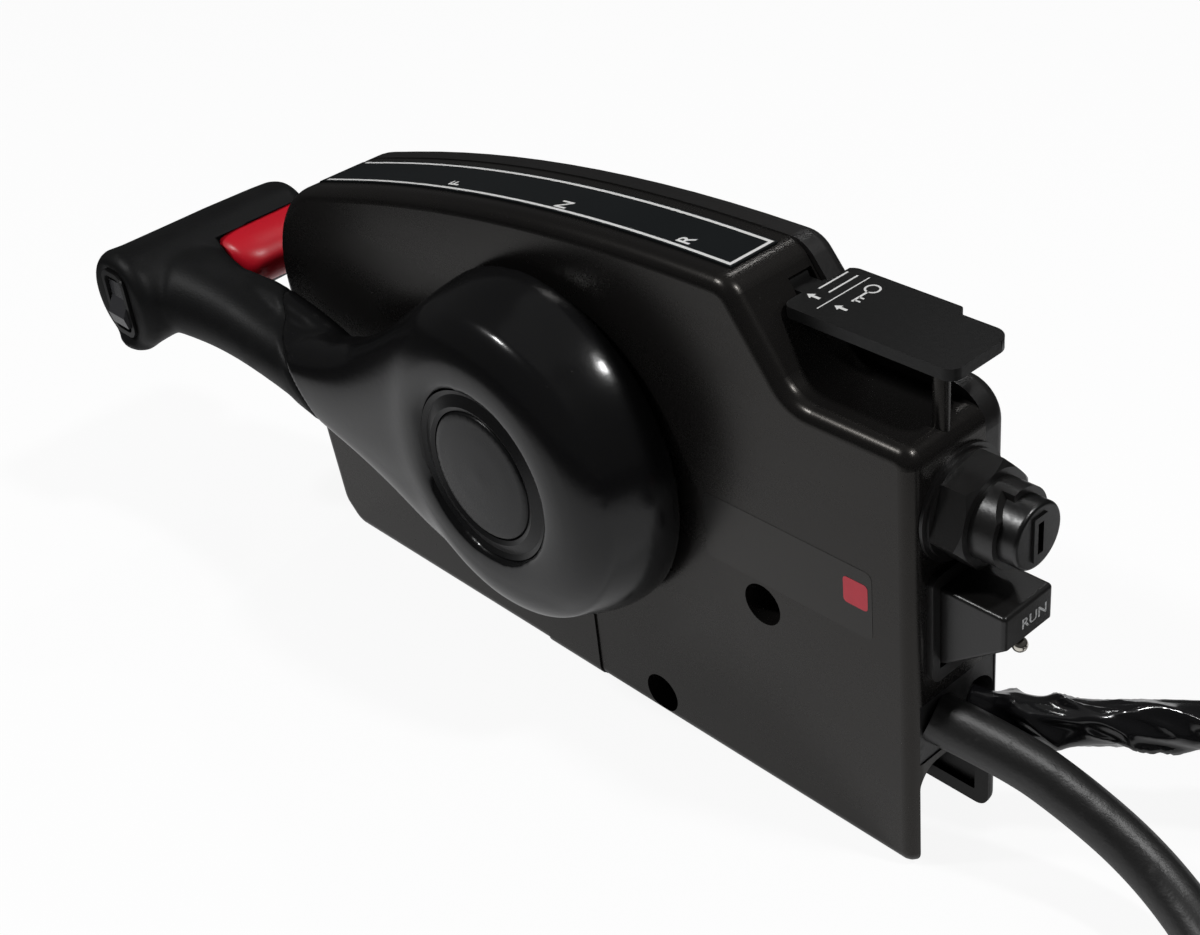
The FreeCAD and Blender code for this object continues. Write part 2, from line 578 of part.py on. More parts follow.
def grip_bar():
    near = GRIP_NEAR_Y
    far = GRIP_FAR_Y
    points = [Vector(GRIP_X, near, GRIP_Z), Vector(GRIP_X + GRIP_NEAR_R - 2.5, near, GRIP_Z),
              Vector(GRIP_X + GRIP_NEAR_R, near + 3.5, GRIP_Z),
              Vector(GRIP_X + GRIP_NEAR_R - 1.4, near + 22, GRIP_Z),
              Vector(GRIP_X + GRIP_FAR_R + 0.6, near + 50, GRIP_Z),
              Vector(GRIP_X + GRIP_FAR_R, far - 7, GRIP_Z),
              Vector(GRIP_X + GRIP_FAR_R - 5.5, far, GRIP_Z), Vector(GRIP_X, far, GRIP_Z)]
    side = Part.BSplineCurve()
    side.interpolate(points[2:6])
    edges = [Part.LineSegment(points[0], points[1]).toShape(),
             Part.LineSegment(points[1], points[2]).toShape(),
             side.toShape(), Part.LineSegment(points[5], points[6]).toShape(),
             Part.LineSegment(points[6], points[7]).toShape(),
             Part.LineSegment(points[7], points[0]).toShape()]
    axis = Vector(GRIP_X, 0, GRIP_Z)
    return Part.Face(Part.Wire(edges)).revolve(axis, Vector(0, 1, 0), 360)


def handle_grip(arm):
    sleeve = arm.cut(behind_seam())
    body = grip_bar().fuse(sleeve)
    tang = cyl_x(TANG_Y, TANG_Z, TANG_R, TANG_END_X, TANG_START_X)
    rod = cyl_x(ROD_Y, ROD_Z, ROD_R + FIT_GAP, GRIP_X, -60.0)
    low = (TRIGGER_MID_Z - TRIGGER_HEIGHT / 2 - FIT_GAP)
    high = (TRIGGER_MID_Z + TRIGGER_HEIGHT / 2 + FIT_GAP)
    pocket = block(TRIGGER_IN_X - TRIGGER_TRAVEL - 0.5, TRIGGER_OUT_X + 20, TRIGGER_NEAR_Y - FIT_GAP,
                   TRIGGER_FAR_Y + FIT_GAP, low, high)
    foot = block(TRIGGER_IN_X - TRIGGER_TRAVEL - 0.5, FOOT_END_X + FIT_GAP, FOOT_Y - FIT_GAP,
                 TRIGGER_NEAR_Y, ROD_Z - 3.0 - FIT_GAP, ROD_Z + 3.0 + FIT_GAP)
    seat = round_box_y(GRIP_X, GRIP_Z, ROCKER_W + 2 * BEZEL_RIM, ROCKER_H + 2 * BEZEL_RIM,
                       GRIP_NEAR_Y - 1, GRIP_NEAR_Y + BEZEL_T, 5.0)
    well = round_box_y(GRIP_X, GRIP_Z, ROCKER_W, ROCKER_H, GRIP_NEAR_Y, GRIP_NEAR_Y + ROCKER_DEPTH + 1.5, 3.0)
    axle = cyl_x(TRIM_PIVOT_Y, GRIP_Z, TRIM_PIN_R + RUN_GAP, GRIP_X - TRIM_PIN_HALF - FIT_GAP,
                 GRIP_X + TRIM_PIN_HALF + FIT_GAP)
    return body.cut(tang.multiFuse([rod, pocket, foot, seat, well, axle])).removeSplitter()


def grip_bezel():
    plate = round_box_y(GRIP_X, GRIP_Z, ROCKER_W + 2 * BEZEL_RIM - 0.2, ROCKER_H + 2 * BEZEL_RIM - 0.2,
                        GRIP_NEAR_Y - 0.8, GRIP_NEAR_Y + BEZEL_T, 4.9)
    opening = round_box_y(GRIP_X, GRIP_Z, ROCKER_W, ROCKER_H, GRIP_NEAR_Y - 2, GRIP_NEAR_Y + BEZEL_T + 1, 3.0)
    return plate.cut(opening)


def trim_rocker():
    """rocker whose lower half stands out and whose upper half is dished"""
    half = ROCKER_H / 2 - 2.1
    y = GRIP_NEAR_Y
    side = [Vector(0, y + 5.6, GRIP_Z - half + 1), Vector(0, y - 1.6, GRIP_Z - half),
            Vector(0, y - 2.6, GRIP_Z - half * 0.45), Vector(0, y + 0.4, GRIP_Z + half * 0.25),
            Vector(0, y + 0.6, GRIP_Z + half), Vector(0, y + 5.6, GRIP_Z + half - 1)]
    face = Part.Face(Part.makePolygon(side + side[:1]))
    body = face.extrude(Vector(ROCKER_W - 2 * FIT_GAP, 0, 0))
    body.translate(Vector(GRIP_X - ROCKER_W / 2 + FIT_GAP, 0, 0))
    axle = cyl_x(TRIM_PIVOT_Y, GRIP_Z, TRIM_PIN_R, GRIP_X - TRIM_PIN_HALF, GRIP_X + TRIM_PIN_HALF)
    return body.fuse(axle).removeSplitter()


# Neutral lock: trigger, rod with its pin and the notched gate on the case
TRIGGER_MID_Z = 98.5
TRIGGER_IN_X = TRIGGER_OUT_X - TRIGGER_DEPTH
FOOT_Y = ROD_Y - 3.2
FOOT_END_X = TRIGGER_IN_X + 8.0


def lock_trigger():
    low = TRIGGER_MID_Z - TRIGGER_HEIGHT / 2
    high = TRIGGER_MID_Z + TRIGGER_HEIGHT / 2
    corners = [(TRIGGER_IN_X, low, 1.5), (TRIGGER_OUT_X, low, 9.0), (TRIGGER_OUT_X, high, 9.0),
               (TRIGGER_IN_X, high, 1.5)]
    paddle = prism(corners, TRIGGER_NEAR_Y, TRIGGER_FAR_Y)
    foot = block(TRIGGER_IN_X, FOOT_END_X, FOOT_Y, TRIGGER_NEAR_Y, ROD_Z - 3.0, ROD_Z + 3.0)
    return paddle.fuse(foot).cut(cyl_x(ROD_Y, ROD_Z, ROD_R, FOOT_END_X - 5, FOOT_END_X + 1)).removeSplitter()


def lock_rod():
    tip_x = -(GATE_R + FIT_GAP)
    rod = cyl_x(ROD_Y, ROD_Z, ROD_R, FOOT_END_X - 5, tip_x - 3)
    pin = block(tip_x - 7.0, tip_x, ROD_Y - 2.6, FRONT_Y - GATE_HEIGHT / 2, ROD_Z - LOCK_PIN_WIDTH / 2,
                ROD_Z + LOCK_PIN_WIDTH / 2)
    return rod.fuse(pin).removeSplitter()


def lock_gate():
    ring = cyl_y(0, SHAFT_Z, GATE_R, FRONT_Y - GATE_HEIGHT, FRONT_Y)
    ring = ring.cut(cyl_y(0, SHAFT_Z, GATE_INNER_R, FRONT_Y - GATE_HEIGHT - 1, FRONT_Y + 1))
    half = LOCK_PIN_WIDTH / 2 + 0.4
    notch = block(-GATE_R - 1, -GATE_R + 4.5, FRONT_Y - GATE_HEIGHT - 1, FRONT_Y - 1.5,
                  ROD_Z - half, ROD_Z + half)
    return ring.cut(turn_y(notch, 0, SHAFT_Z, NEUTRAL_AT))


# Spur teeth: one closed outline per wheel, with arc flanks through three points of the involute
def tooth_flanks(teeth, clearance):
    pitch_r = MODULE * teeth / 2
    base_r = pitch_r * math.cos(math.radians(20))
    tip_r = pitch_r + 0.9 * MODULE
    root_r = pitch_r - 1.25 * MODULE
    half_pitch_angle = (math.pi * MODULE / 2 - clearance) / (2 * pitch_r)

    def involute(radius):
        t = math.sqrt(max((radius / base_r) ** 2 - 1, 0.0))
        return t - math.atan(t)
    start_r = max(base_r, root_r + 0.2)
    radii = [start_r, (start_r + tip_r) / 2, tip_r]
    angles = [half_pitch_angle + involute(pitch_r) - involute(r) for r in radii]
    return root_r, tip_r, radii, angles


def toothed_face(x, z, y, teeth, clearance, first_deg, count, hub_r):
    """a full wheel, or a fan of teeth that closes on its hub when count is under the full number"""
    root_r, tip_r, radii, angles = tooth_flanks(teeth, clearance)
    step = 2 * math.pi / teeth

    def at(radius, angle):
        return Vector(x + radius * math.cos(angle), y, z + radius * math.sin(angle))
    edges = []
    first = math.radians(first_deg)
    last_end = None
    for i in range(count):
        mid = first + i * step
        low = [at(r, mid - a) for r, a in zip(radii, angles)]
        up = [at(r, mid + a) for r, a in zip(radii, angles)]
        root_a = at(root_r, mid - angles[0])
        root_b = at(root_r, mid + angles[0])
        if last_end is not None:
            edges.append(Part.Arc(last_end, at(root_r, mid - step / 2), root_a).toShape())
        edges.append(Part.LineSegment(root_a, low[0]).toShape())
        edges.append(Part.Arc(low[0], low[1], low[2]).toShape())
        edges.append(Part.Arc(low[2], at(tip_r, mid), up[2]).toShape())
        edges.append(Part.Arc(up[2], up[1], up[0]).toShape())
        edges.append(Part.LineSegment(up[0], root_b).toShape())
        last_end = root_b
        if i == 0:
            begin = root_a
    if count == teeth:
        edges.append(Part.Arc(last_end, at(root_r, first - step / 2), begin).toShape())
    else:
        edges.append(Part.LineSegment(last_end, at(hub_r, first + (count - 1) * step)).toShape())
        edges.append(Part.Arc(at(hub_r, first + (count - 1) * step),
                              at(hub_r, first + (count - 1) * step / 2),
                              at(hub_r, first)).toShape())
        edges.append(Part.LineSegment(at(hub_r, first), begin).toShape())
    return Part.Face(Part.Wire(edges))


def drive_gear():
    face = toothed_face(0, SHAFT_Z, GEAR_Y, DRIVE_TEETH, BACKLASH / 2, SHIFT_PIVOT_DIR, DRIVE_TEETH, 0)
    body = face.extrude(Vector(0, GEAR_WIDTH, 0))
    return body.cut(cyl_y(0, SHAFT_Z, SHAFT_R, GEAR_Y - 1, GEAR_END_Y + 1))


def shift_lever():
    """toothed sector with the arm that pulls the shift cable"""
    half_step = 180.0 / SHIFT_TEETH
    toward_shaft = SHIFT_PIVOT_DIR + 180.0
    travel = HANDLE_TRAVEL * DRIVE_TEETH / SHIFT_TEETH
    behind = int(math.ceil((travel + 12.0) / (2 * half_step)))
    first = toward_shaft + half_step - 2 * half_step * behind
    hub_r = PIVOT_PIN_R + 4.0
    fan = toothed_face(SHIFT_X, SHIFT_Z, GEAR_Y, SHIFT_TEETH, BACKLASH / 2, first, behind + 1, hub_r - 1.0)
    body = fan.extrude(Vector(0, GEAR_WIDTH, 0))
    body = body.fuse(cyl_y(SHIFT_X, SHIFT_Z, hub_r, GEAR_Y, GEAR_END_Y))
    middle = first + half_step * behind
    light_x, light_z = polar(SHIFT_PITCH_R * 0.58, middle)
    window = cyl_y(SHIFT_X + light_x, SHIFT_Z + light_z, 7.5, GEAR_Y - 1, GEAR_END_Y + 1)
    end_x, end_z = polar(SHIFT_ARM, -90.0 - travel / 2)
    arm_end = cyl_y(SHIFT_X + end_x, SHIFT_Z + end_z, 5.0, GEAR_Y, GEAR_Y + 4.0)
    bar = block(SHIFT_X, SHIFT_X + SHIFT_ARM, GEAR_Y, GEAR_Y + 4.0, SHIFT_Z - 4.5, SHIFT_Z + 4.5)
    bar = turn_y(bar, SHIFT_X, SHIFT_Z, 90.0 + travel / 2)
    stud = cyl_y(SHIFT_X + end_x, SHIFT_Z + end_z, 2.4, GEAR_Y + 4.0, GEAR_Y + 12.0)
    body = body.cut(window).fuse([arm_end, bar, stud])
    bore = cyl_y(SHIFT_X, SHIFT_Z, PIVOT_PIN_R + RUN_GAP, GEAR_Y - 1, GEAR_END_Y + 1)
    return body.cut(bore).removeSplitter()


def roller_place(handle_deg):
    """where the throttle roller stands when the handle has turned, relative to the shaft"""
    lever = THROTTLE_PIVOT_DIR + 180.0 - THROTTLE_OPEN_DEG + THROTTLE_RATIO * handle_deg
    dx, dz = polar(THROTTLE_ARM, lever)
    return THROTTLE_X + dx, THROTTLE_DZ + dz


def cam_groove():
    """the path of the roller over the turning cam, widened to the roller and closed by round ends"""
    half = ROLLER_R + FIT_GAP
    steps = 9
    spare = 2.0
    centre = []
    for i in range(steps):
        deg = -spare + (HANDLE_TRAVEL + 2 * spare) * i / (steps - 1)
        rx, rz = roller_place(min(max(deg, 0.0), HANDLE_TRAVEL))
        radius = math.hypot(rx, rz)
        angle = math.degrees(math.atan2(rz, rx)) + deg
        px, pz = polar(radius, angle)
        centre.append(Vector(px, 0, SHAFT_Z + pz))
    inner = []
    outer = []
    for i, p in enumerate(centre):
        along = (centre[min(i + 1, steps - 1)] - centre[max(i - 1, 0)]).normalize()
        side = Vector(-along.z, 0, along.x)
        outer.append(p - side * half)
        inner.append(p + side * half)
    start_out = (centre[0] - centre[1]).normalize()
    end_out = (centre[-1] - centre[-2]).normalize()
    a = Part.BSplineCurve()
    a.interpolate(outer)
    b = Part.BSplineCurve()
    b.interpolate(list(reversed(inner)))
    edges = [a.toShape(), Part.Arc(outer[-1], centre[-1] + end_out * half, inner[-1]).toShape(),
             b.toShape(), Part.Arc(inner[0], centre[0] + start_out * half, outer[0]).toShape()]
    face = Part.Face(Part.Wire(edges))
    face.translate(Vector(0, CAM_END_Y - GROOVE_DEPTH, 0))
    return face.extrude(Vector(0, GROOVE_DEPTH + 1, 0))


def throttle_cam():
    disc = cyl_y(0, SHAFT_Z, CAM_R, CAM_Y, CAM_END_Y)
    hub = cyl_y(0, SHAFT_Z, SHAFT_R + 4.0, GEAR_END_Y, CAM_Y)
    body = disc.fuse(hub).cut(cam_groove())
    holes = []
    for deg in (-60.0, -100.0, -140.0):
        hx, hz = polar(CAM_R * 0.62, deg)
        holes.append(cyl_y(hx, SHAFT_Z + hz, 7.0, CAM_Y - 1, CAM_END_Y + 1))
    holes.append(cyl_y(0, SHAFT_Z, SHAFT_R, GEAR_END_Y - 1, CAM_END_Y + 1))
    return body.cut(holes[0].multiFuse(holes[1:])).removeSplitter()


def throttle_lever():
    rx, rz = roller_place(0.0)
    rz += SHAFT_Z
    y1 = LEVER_Y + LEVER_WIDTH
    hub = cyl_y(THROTTLE_X, THROTTLE_Z, PIVOT_PIN_R + 4.0, LEVER_Y, y1)
    lever_deg = THROTTLE_PIVOT_DIR + 180.0 - THROTTLE_OPEN_DEG
    arm = block(THROTTLE_X, THROTTLE_X + THROTTLE_ARM, LEVER_Y, y1, THROTTLE_Z - 4.0, THROTTLE_Z + 4.0)
    arm = turn_y(arm, THROTTLE_X, THROTTLE_Z, -lever_deg)
    end = cyl_y(rx, rz, 4.0, LEVER_Y, y1)
    post = cyl_y(rx, rz, ROLLER_PIN_R, CAM_END_Y - GROOVE_DEPTH + 0.6, LEVER_Y)
    cable_deg = -95.0
    cx, cz = polar(THROTTLE_CABLE_ARM, cable_deg)
    pull = block(THROTTLE_X, THROTTLE_X + THROTTLE_CABLE_ARM, LEVER_Y, y1, THROTTLE_Z - 4.0, THROTTLE_Z + 4.0)
    pull = turn_y(pull, THROTTLE_X, THROTTLE_Z, -cable_deg)
    pull_end = cyl_y(THROTTLE_X + cx, THROTTLE_Z + cz, 5.0, LEVER_Y, y1)
    stud = cyl_y(THROTTLE_X + cx, THROTTLE_Z + cz, 2.4, y1, y1 + 6.0)
    body = hub.multiFuse([arm, end, post, pull, pull_end, stud])
    bore = cyl_y(THROTTLE_X, THROTTLE_Z, PIVOT_PIN_R + RUN_GAP, LEVER_Y - 1, y1 + 1)
    return body.cut(bore).removeSplitter()


ROLLER_PIN_R = 1.5


def throttle_roller():
    rx, rz = roller_place(0.0)
    rz += SHAFT_Z
    y0 = CAM_END_Y - GROOVE_DEPTH + 0.4
    roller = cyl_y(rx, rz, ROLLER_R, y0, LEVER_Y - 0.2)
    return roller.cut(cyl_y(rx, rz, ROLLER_PIN_R, y0 - 1, LEVER_Y + 1))


def lever_pivot_pins():
    shift_pin = cyl_y(SHIFT_X, SHIFT_Z, PIVOT_PIN_R, INNER_FRONT_Y + 0.2, BACK_Y - 4.2)
    throttle_pin = cyl_y(THROTTLE_X, THROTTLE_Z, PIVOT_PIN_R, LEVER_Y - THROTTLE_PIN_SEAT + 0.2, BACK_Y - 4.2)
    return Part.makeCompound([shift_pin, throttle_pin])


def detent_wheel():
    wheel = cyl_y(0, SHAFT_Z, DETENT_R, DETENT_Y, DETENT_END_Y)
    hub = cyl_y(0, SHAFT_Z, SHAFT_R + 3.0, CAM_END_Y, DETENT_Y)
    cuts = [cyl_y(0, SHAFT_Z, SHAFT_R, CAM_END_Y - 1, DETENT_END_Y + 1)]
    for stop in (NEUTRAL_AT - GEAR_SHIFT_AT, NEUTRAL_AT, NEUTRAL_AT + GEAR_SHIFT_AT):
        nx, nz = polar(DETENT_R + DETENT_BALL_R - DETENT_TRAVEL, DETENT_DIR + stop)
        cuts.append(cyl_y(nx, SHAFT_Z + nz, DETENT_BALL_R + 0.2, DETENT_Y - 1, DETENT_END_Y + 1))
    return wheel.fuse(hub).cut(cuts[0].multiFuse(cuts[1:])).removeSplitter()


def radial_cylinder(degrees, radius, near, far, y):
    ux, uz = polar(1.0, degrees)
    return Part.makeCylinder(radius, far - near, Vector(ux * near, y, SHAFT_Z + uz * near), Vector(ux, 0, uz))


def detent_plunger():
    y = (DETENT_Y + DETENT_END_Y) / 2
    near = DETENT_R + FIT_GAP
    rod = radial_cylinder(DETENT_DIR, DETENT_BALL_R, near + DETENT_BALL_R, near + 12.0, y)
    ux, uz = polar(near + DETENT_BALL_R, DETENT_DIR)
    return rod.fuse(Part.makeSphere(DETENT_BALL_R, Vector(ux, y, SHAFT_Z + uz))).removeSplitter()


def detent_block():
    y = (DETENT_Y + DETENT_END_Y) / 2
    body = block(DETENT_R + 5.5, DETENT_R + 18.0, y - 4.0, INNER_BACK_Y, SHAFT_Z - 6.0, SHAFT_Z + 6.0)
    body = turn_y(body, 0, SHAFT_Z, -DETENT_DIR)
    bore_end = DETENT_R + 12.3 + DETENT_TRAVEL + 0.3
    bore = radial_cylinder(DETENT_DIR, DETENT_BALL_R + RUN_GAP, DETENT_R + 4, bore_end, y)
    return body.cut(bore)


NEUTRAL_SWITCH_DEPTH = 6.4
SWITCH_PLUNGER_R = 1.5
SWITCH_PLUNGER_TRAVEL = 0.8
SWITCH_PLUNGER_LENGTH = 8.5


def neutral_start_switch():
    y1 = INNER_BACK_Y
    body = block(-DETENT_R - 24.0, -DETENT_R - 4.0, y1 - NEUTRAL_SWITCH_DEPTH, y1,
                 SHAFT_Z - 5.0, SHAFT_Z + 5.0)
    y = y1 - NEUTRAL_SWITCH_DEPTH / 2
    bore_end = -DETENT_R - FIT_GAP - SWITCH_PLUNGER_LENGTH - SWITCH_PLUNGER_TRAVEL - 0.4
    bore = cyl_x(y, SHAFT_Z, SWITCH_PLUNGER_R + RUN_GAP, bore_end, -DETENT_R)
    tabs = [block(-DETENT_R - 29.0, -DETENT_R - 24.0, y - 0.4, y + 0.4, SHAFT_Z + o - 1.5, SHAFT_Z + o + 1.5)
            for o in (-3.0, 3.0)]
    return body.cut(bore).fuse(tabs)


def neutral_switch_plunger():
    y = INNER_BACK_Y - NEUTRAL_SWITCH_DEPTH / 2
    x1 = -DETENT_R - FIT_GAP
    return cyl_x(y, SHAFT_Z, SWITCH_PLUNGER_R, x1 - SWITCH_PLUNGER_LENGTH, x1)


# Ignition switch with its choke plunger, at the key end
SWITCH_R = 15.0
SWITCH_LENGTH = 30.0
PLUNGER_R = 8.0
PLUNGER_LENGTH = 8.0
KEY_IN = 8.0


def ignition_switch_body():
    x1 = KEY_END_X - WALL - 0.1
    body = cyl_x(0, KEY_Z, SWITCH_R, x1 - SWITCH_LENGTH, x1)
    neck = cyl_x(0, KEY_Z, BARREL_R, x1, KEY_END_X + 11.0)
    bore_end = KEY_END_X - KEY_IN - FIT_GAP - PLUNGER_LENGTH - CHOKE_TRAVEL - 0.7
    bore = cyl_x(0, KEY_Z, KEY_CYLINDER_R + RUN_GAP + 0.4, bore_end, KEY_END_X + 12.0)
    tabs = [block(x1 - SWITCH_LENGTH - 7.0, x1 - SWITCH_LENGTH, y - 0.5, y + 0.5,
                  KEY_Z + z - 3, KEY_Z + z + 3)
            for y, z in ((-9.0, 0.0), (9.0, 0.0), (0.0, 9.0), (0.0, -9.0), (0.0, 0.0))]
    return body.fuse(neck).cut(bore).fuse(tabs).removeSplitter()


def ignition_barrel():
    """end of the neck beyond the nut, with a vee in its rim"""
    x0 = KEY_END_X + 11.0
    x1 = KEY_END_X + BARREL_END
    bore = cyl_x(0, KEY_Z, KEY_CYLINDER_R + RUN_GAP, x0 - 1, x1 + 1)
    body = cyl_x(0, KEY_Z, BARREL_R, x0, x1).cut(bore)
    vee = Part.Face(Part.makePolygon([Vector(x1 + 0.1, 0, KEY_Z + BARREL_R + 2),
                                      Vector(x1 + 0.1, 0, KEY_Z + 6),
                                      Vector(x1 - 5.5, 0, KEY_Z + BARREL_R + 2),
                                      Vector(x1 + 0.1, 0, KEY_Z + BARREL_R + 2)]))
    vee = vee.extrude(Vector(0, 7.0, 0))
    vee.translate(Vector(0, -9.5, 0))
    return body.cut(vee)


def ignition_washer():
    x0 = KEY_END_X
    ring = cyl_x(0, KEY_Z, WASHER_R, x0, x0 + WASHER_T)
    ring = ring.fuse(cyl_x(0, KEY_Z, WASHER_R - 1.3, x0 + WASHER_T, x0 + 2 * WASHER_T))
    return ring.cut(cyl_x(0, KEY_Z, BARREL_R + 0.1, x0 - 1, x0 + 3))


def ignition_nut():
    x0 = KEY_END_X + 2 * WASHER_T
    r = NUT_ACROSS_FLATS / 2 / math.cos(math.radians(30))
    points = [Vector(x0, polar(r, 60 * i + 12)[0], KEY_Z + polar(r, 60 * i + 12)[1]) for i in range(7)]
    body = Part.Face(Part.makePolygon(points)).extrude(Vector(NUT_T, 0, 0))
    profile = [Vector(x0, 0, KEY_Z), Vector(x0, 0, KEY_Z + r + 0.2),
               Vector(x0 + NUT_T - 1.6, 0, KEY_Z + r + 0.2), Vector(x0 + NUT_T, 0, KEY_Z + r - 2.0),
               Vector(x0 + NUT_T, 0, KEY_Z), Vector(x0, 0, KEY_Z)]
    turned = Part.Face(Part.makePolygon(profile)).revolve(Vector(0, 0, KEY_Z), Vector(1, 0, 0), 360)
    return body.common(turned).cut(cyl_x(0, KEY_Z, BARREL_R + 0.02, x0 - 1, x0 + NUT_T + 1))


def choke_plunger():
    x1 = KEY_END_X - KEY_IN - FIT_GAP
    return cyl_x(0, KEY_Z, PLUNGER_R, x1 - PLUNGER_LENGTH, x1)


def key_cylinder():
    x0 = KEY_END_X - KEY_IN
    x1 = KEY_END_X + KEY_FACE
    body = cyl_x(0, KEY_Z, KEY_CYLINDER_R, x0, x1)
    rim = [e for e in body.Edges if e.BoundBox.XMin > x1 - 0.01]
    body = body.makeFillet(1.0, rim)
    frame = block(x1 - 0.5, x1 + 0.6, -2.6, 2.6, KEY_Z - 6.4, KEY_Z + 6.4)
    slot = block(x1 - 9.0, x1 + 1.0, -1.1, 1.1, KEY_Z - 4.6, KEY_Z + 4.6)
    return body.fuse(frame).cut(slot).removeSplitter()


# Stop switch: body with its bezel, and the toggle drum
STOP_PIVOT_X = KEY_END_X - STOP_PIVOT_IN
STOP_BEZEL_T = 2.0
STOP_BEZEL_LOW = 65.6
STOP_BEZEL_HIGH = 100.3
STOP_BEZEL_HALF = 13.2


def stop_window():
    half = STOP_WIDTH / 2 + 1.2
    reach = STOP_DRUM_R + 1.2
    return block(KEY_END_X - WALL - 0.1, KEY_END_X + 1, -half, half,
                 STOP_PIVOT_Z - reach, STOP_PIVOT_Z + reach)


def stop_switch_body():
    half = STOP_WIDTH / 2 + 1.0
    reach = STOP_DRUM_R + 1.0
    can = block(KEY_END_X - 20.0, KEY_END_X, -half, half, STOP_PIVOT_Z - reach, STOP_PIVOT_Z + reach)
    bezel = block(KEY_END_X, KEY_END_X + STOP_BEZEL_T, -STOP_BEZEL_HALF, STOP_BEZEL_HALF, STOP_BEZEL_LOW,
                  STOP_BEZEL_HIGH)
    edges = [e for e in bezel.Edges if abs(e.BoundBox.XLength) > 1.0 and e.BoundBox.ZLength < 0.1]
    bezel = bezel.makeFillet(3.0, edges)
    lip = STOP_WIDTH / 2 + FIT_GAP
    room = STOP_DRUM_R + FIT_GAP
    well = cyl_y(STOP_PIVOT_X, STOP_PIVOT_Z, room, -lip, lip)
    mouth = block(STOP_PIVOT_X, KEY_END_X + 5, -lip, lip, STOP_PIVOT_Z - room, STOP_PIVOT_Z + room)
    pin = cyl_y(STOP_PIVOT_X, STOP_PIVOT_Z, 1.5, -half, half)
    return can.fuse(bezel).cut(well.fuse(mouth)).fuse(pin).removeSplitter()


def stop_toggle():
    """drum with a wedge that stands out of it; its flat top is tangent to the drum"""
    face_x = KEY_END_X + STOP_REACH
    top = STOP_PIVOT_Z + STOP_DRUM_R
    low = top - STOP_FACE_H
    dx = face_x - STOP_PIVOT_X
    dz = low - STOP_PIVOT_Z
    tangent = math.degrees(math.atan2(dz, dx)) - math.degrees(math.acos(STOP_DRUM_R / math.hypot(dx, dz)))
    tx, tz = polar(STOP_DRUM_R, tangent)
    middle = polar(STOP_DRUM_R, (90.0 + tangent - 360.0) / 2)
    y0 = -STOP_WIDTH / 2
    edges = [
        Part.LineSegment(Vector(STOP_PIVOT_X, y0, top), Vector(face_x, y0, top)).toShape(),
        Part.LineSegment(Vector(face_x, y0, top), Vector(face_x, y0, low)).toShape(),
        Part.LineSegment(Vector(face_x, y0, low), Vector(STOP_PIVOT_X + tx, y0, STOP_PIVOT_Z + tz)).toShape(),
        Part.Arc(Vector(STOP_PIVOT_X + tx, y0, STOP_PIVOT_Z + tz),
                 Vector(STOP_PIVOT_X + middle[0], y0, STOP_PIVOT_Z + middle[1]),
                 Vector(STOP_PIVOT_X, y0, top)).toShape()]
    body = Part.Face(Part.Wire(edges)).extrude(Vector(0, STOP_WIDTH, 0))
    rounded = [e for e in body.Edges if e.BoundBox.XMax > face_x - 0.1 and e.BoundBox.ZMax > top - 0.1]
    body = body.makeFillet(1.3, rounded)
    return body.cut([cyl_y(STOP_PIVOT_X, STOP_PIVOT_Z, 1.5 + RUN_GAP, y0 - 1, -y0 + 1), lanyard_stud()])


def lanyard_stud():
    """ball-ended stud under the toggle, where the lanyard clips"""
    face_x = KEY_END_X + STOP_REACH
    x = face_x - 6.3
    y = 3.0
    z = STOP_PIVOT_Z - 3.2
    down = Vector(0.6, 0, -0.8)
    ball = Part.makeSphere(2.2, Vector(x, y, z) + down * 2.6)
    return Part.makeCylinder(1.3, 4.0, Vector(x, y, z) - down * 1.4, down).fuse(ball).removeSplitter()


# Fast-idle lever: an arm through a slot in the arch end, and the plate that a finger lifts
IDLE_PIN_R = 2.0
IDLE_ARM_Y0 = 0.8
IDLE_ARM_Y1 = 8.6
IDLE_PLATE_X0 = 84.6


def idle_slot():
    half = IDLE_PLATE_T / 2 + 1.0
    z = IDLE_PLATE_Z + IDLE_PLATE_T / 2
    arm = block(IDLE_PIVOT_X, IDLE_PIVOT_X + 16, IDLE_ARM_Y0 - 0.5, IDLE_ARM_Y1 + 0.5, z - half, z + half)
    steps = [turn_y(arm, IDLE_PIVOT_X, IDLE_PIVOT_Z, -a) for a in (0.0, IDLE_TRAVEL / 2, IDLE_TRAVEL)]
    hub = cyl_y(IDLE_PIVOT_X, IDLE_PIVOT_Z, 5.6, IDLE_ARM_Y0 - 0.3, IDLE_ARM_Y1 + 0.5)
    return steps[0].multiFuse(steps[1:] + [hub])


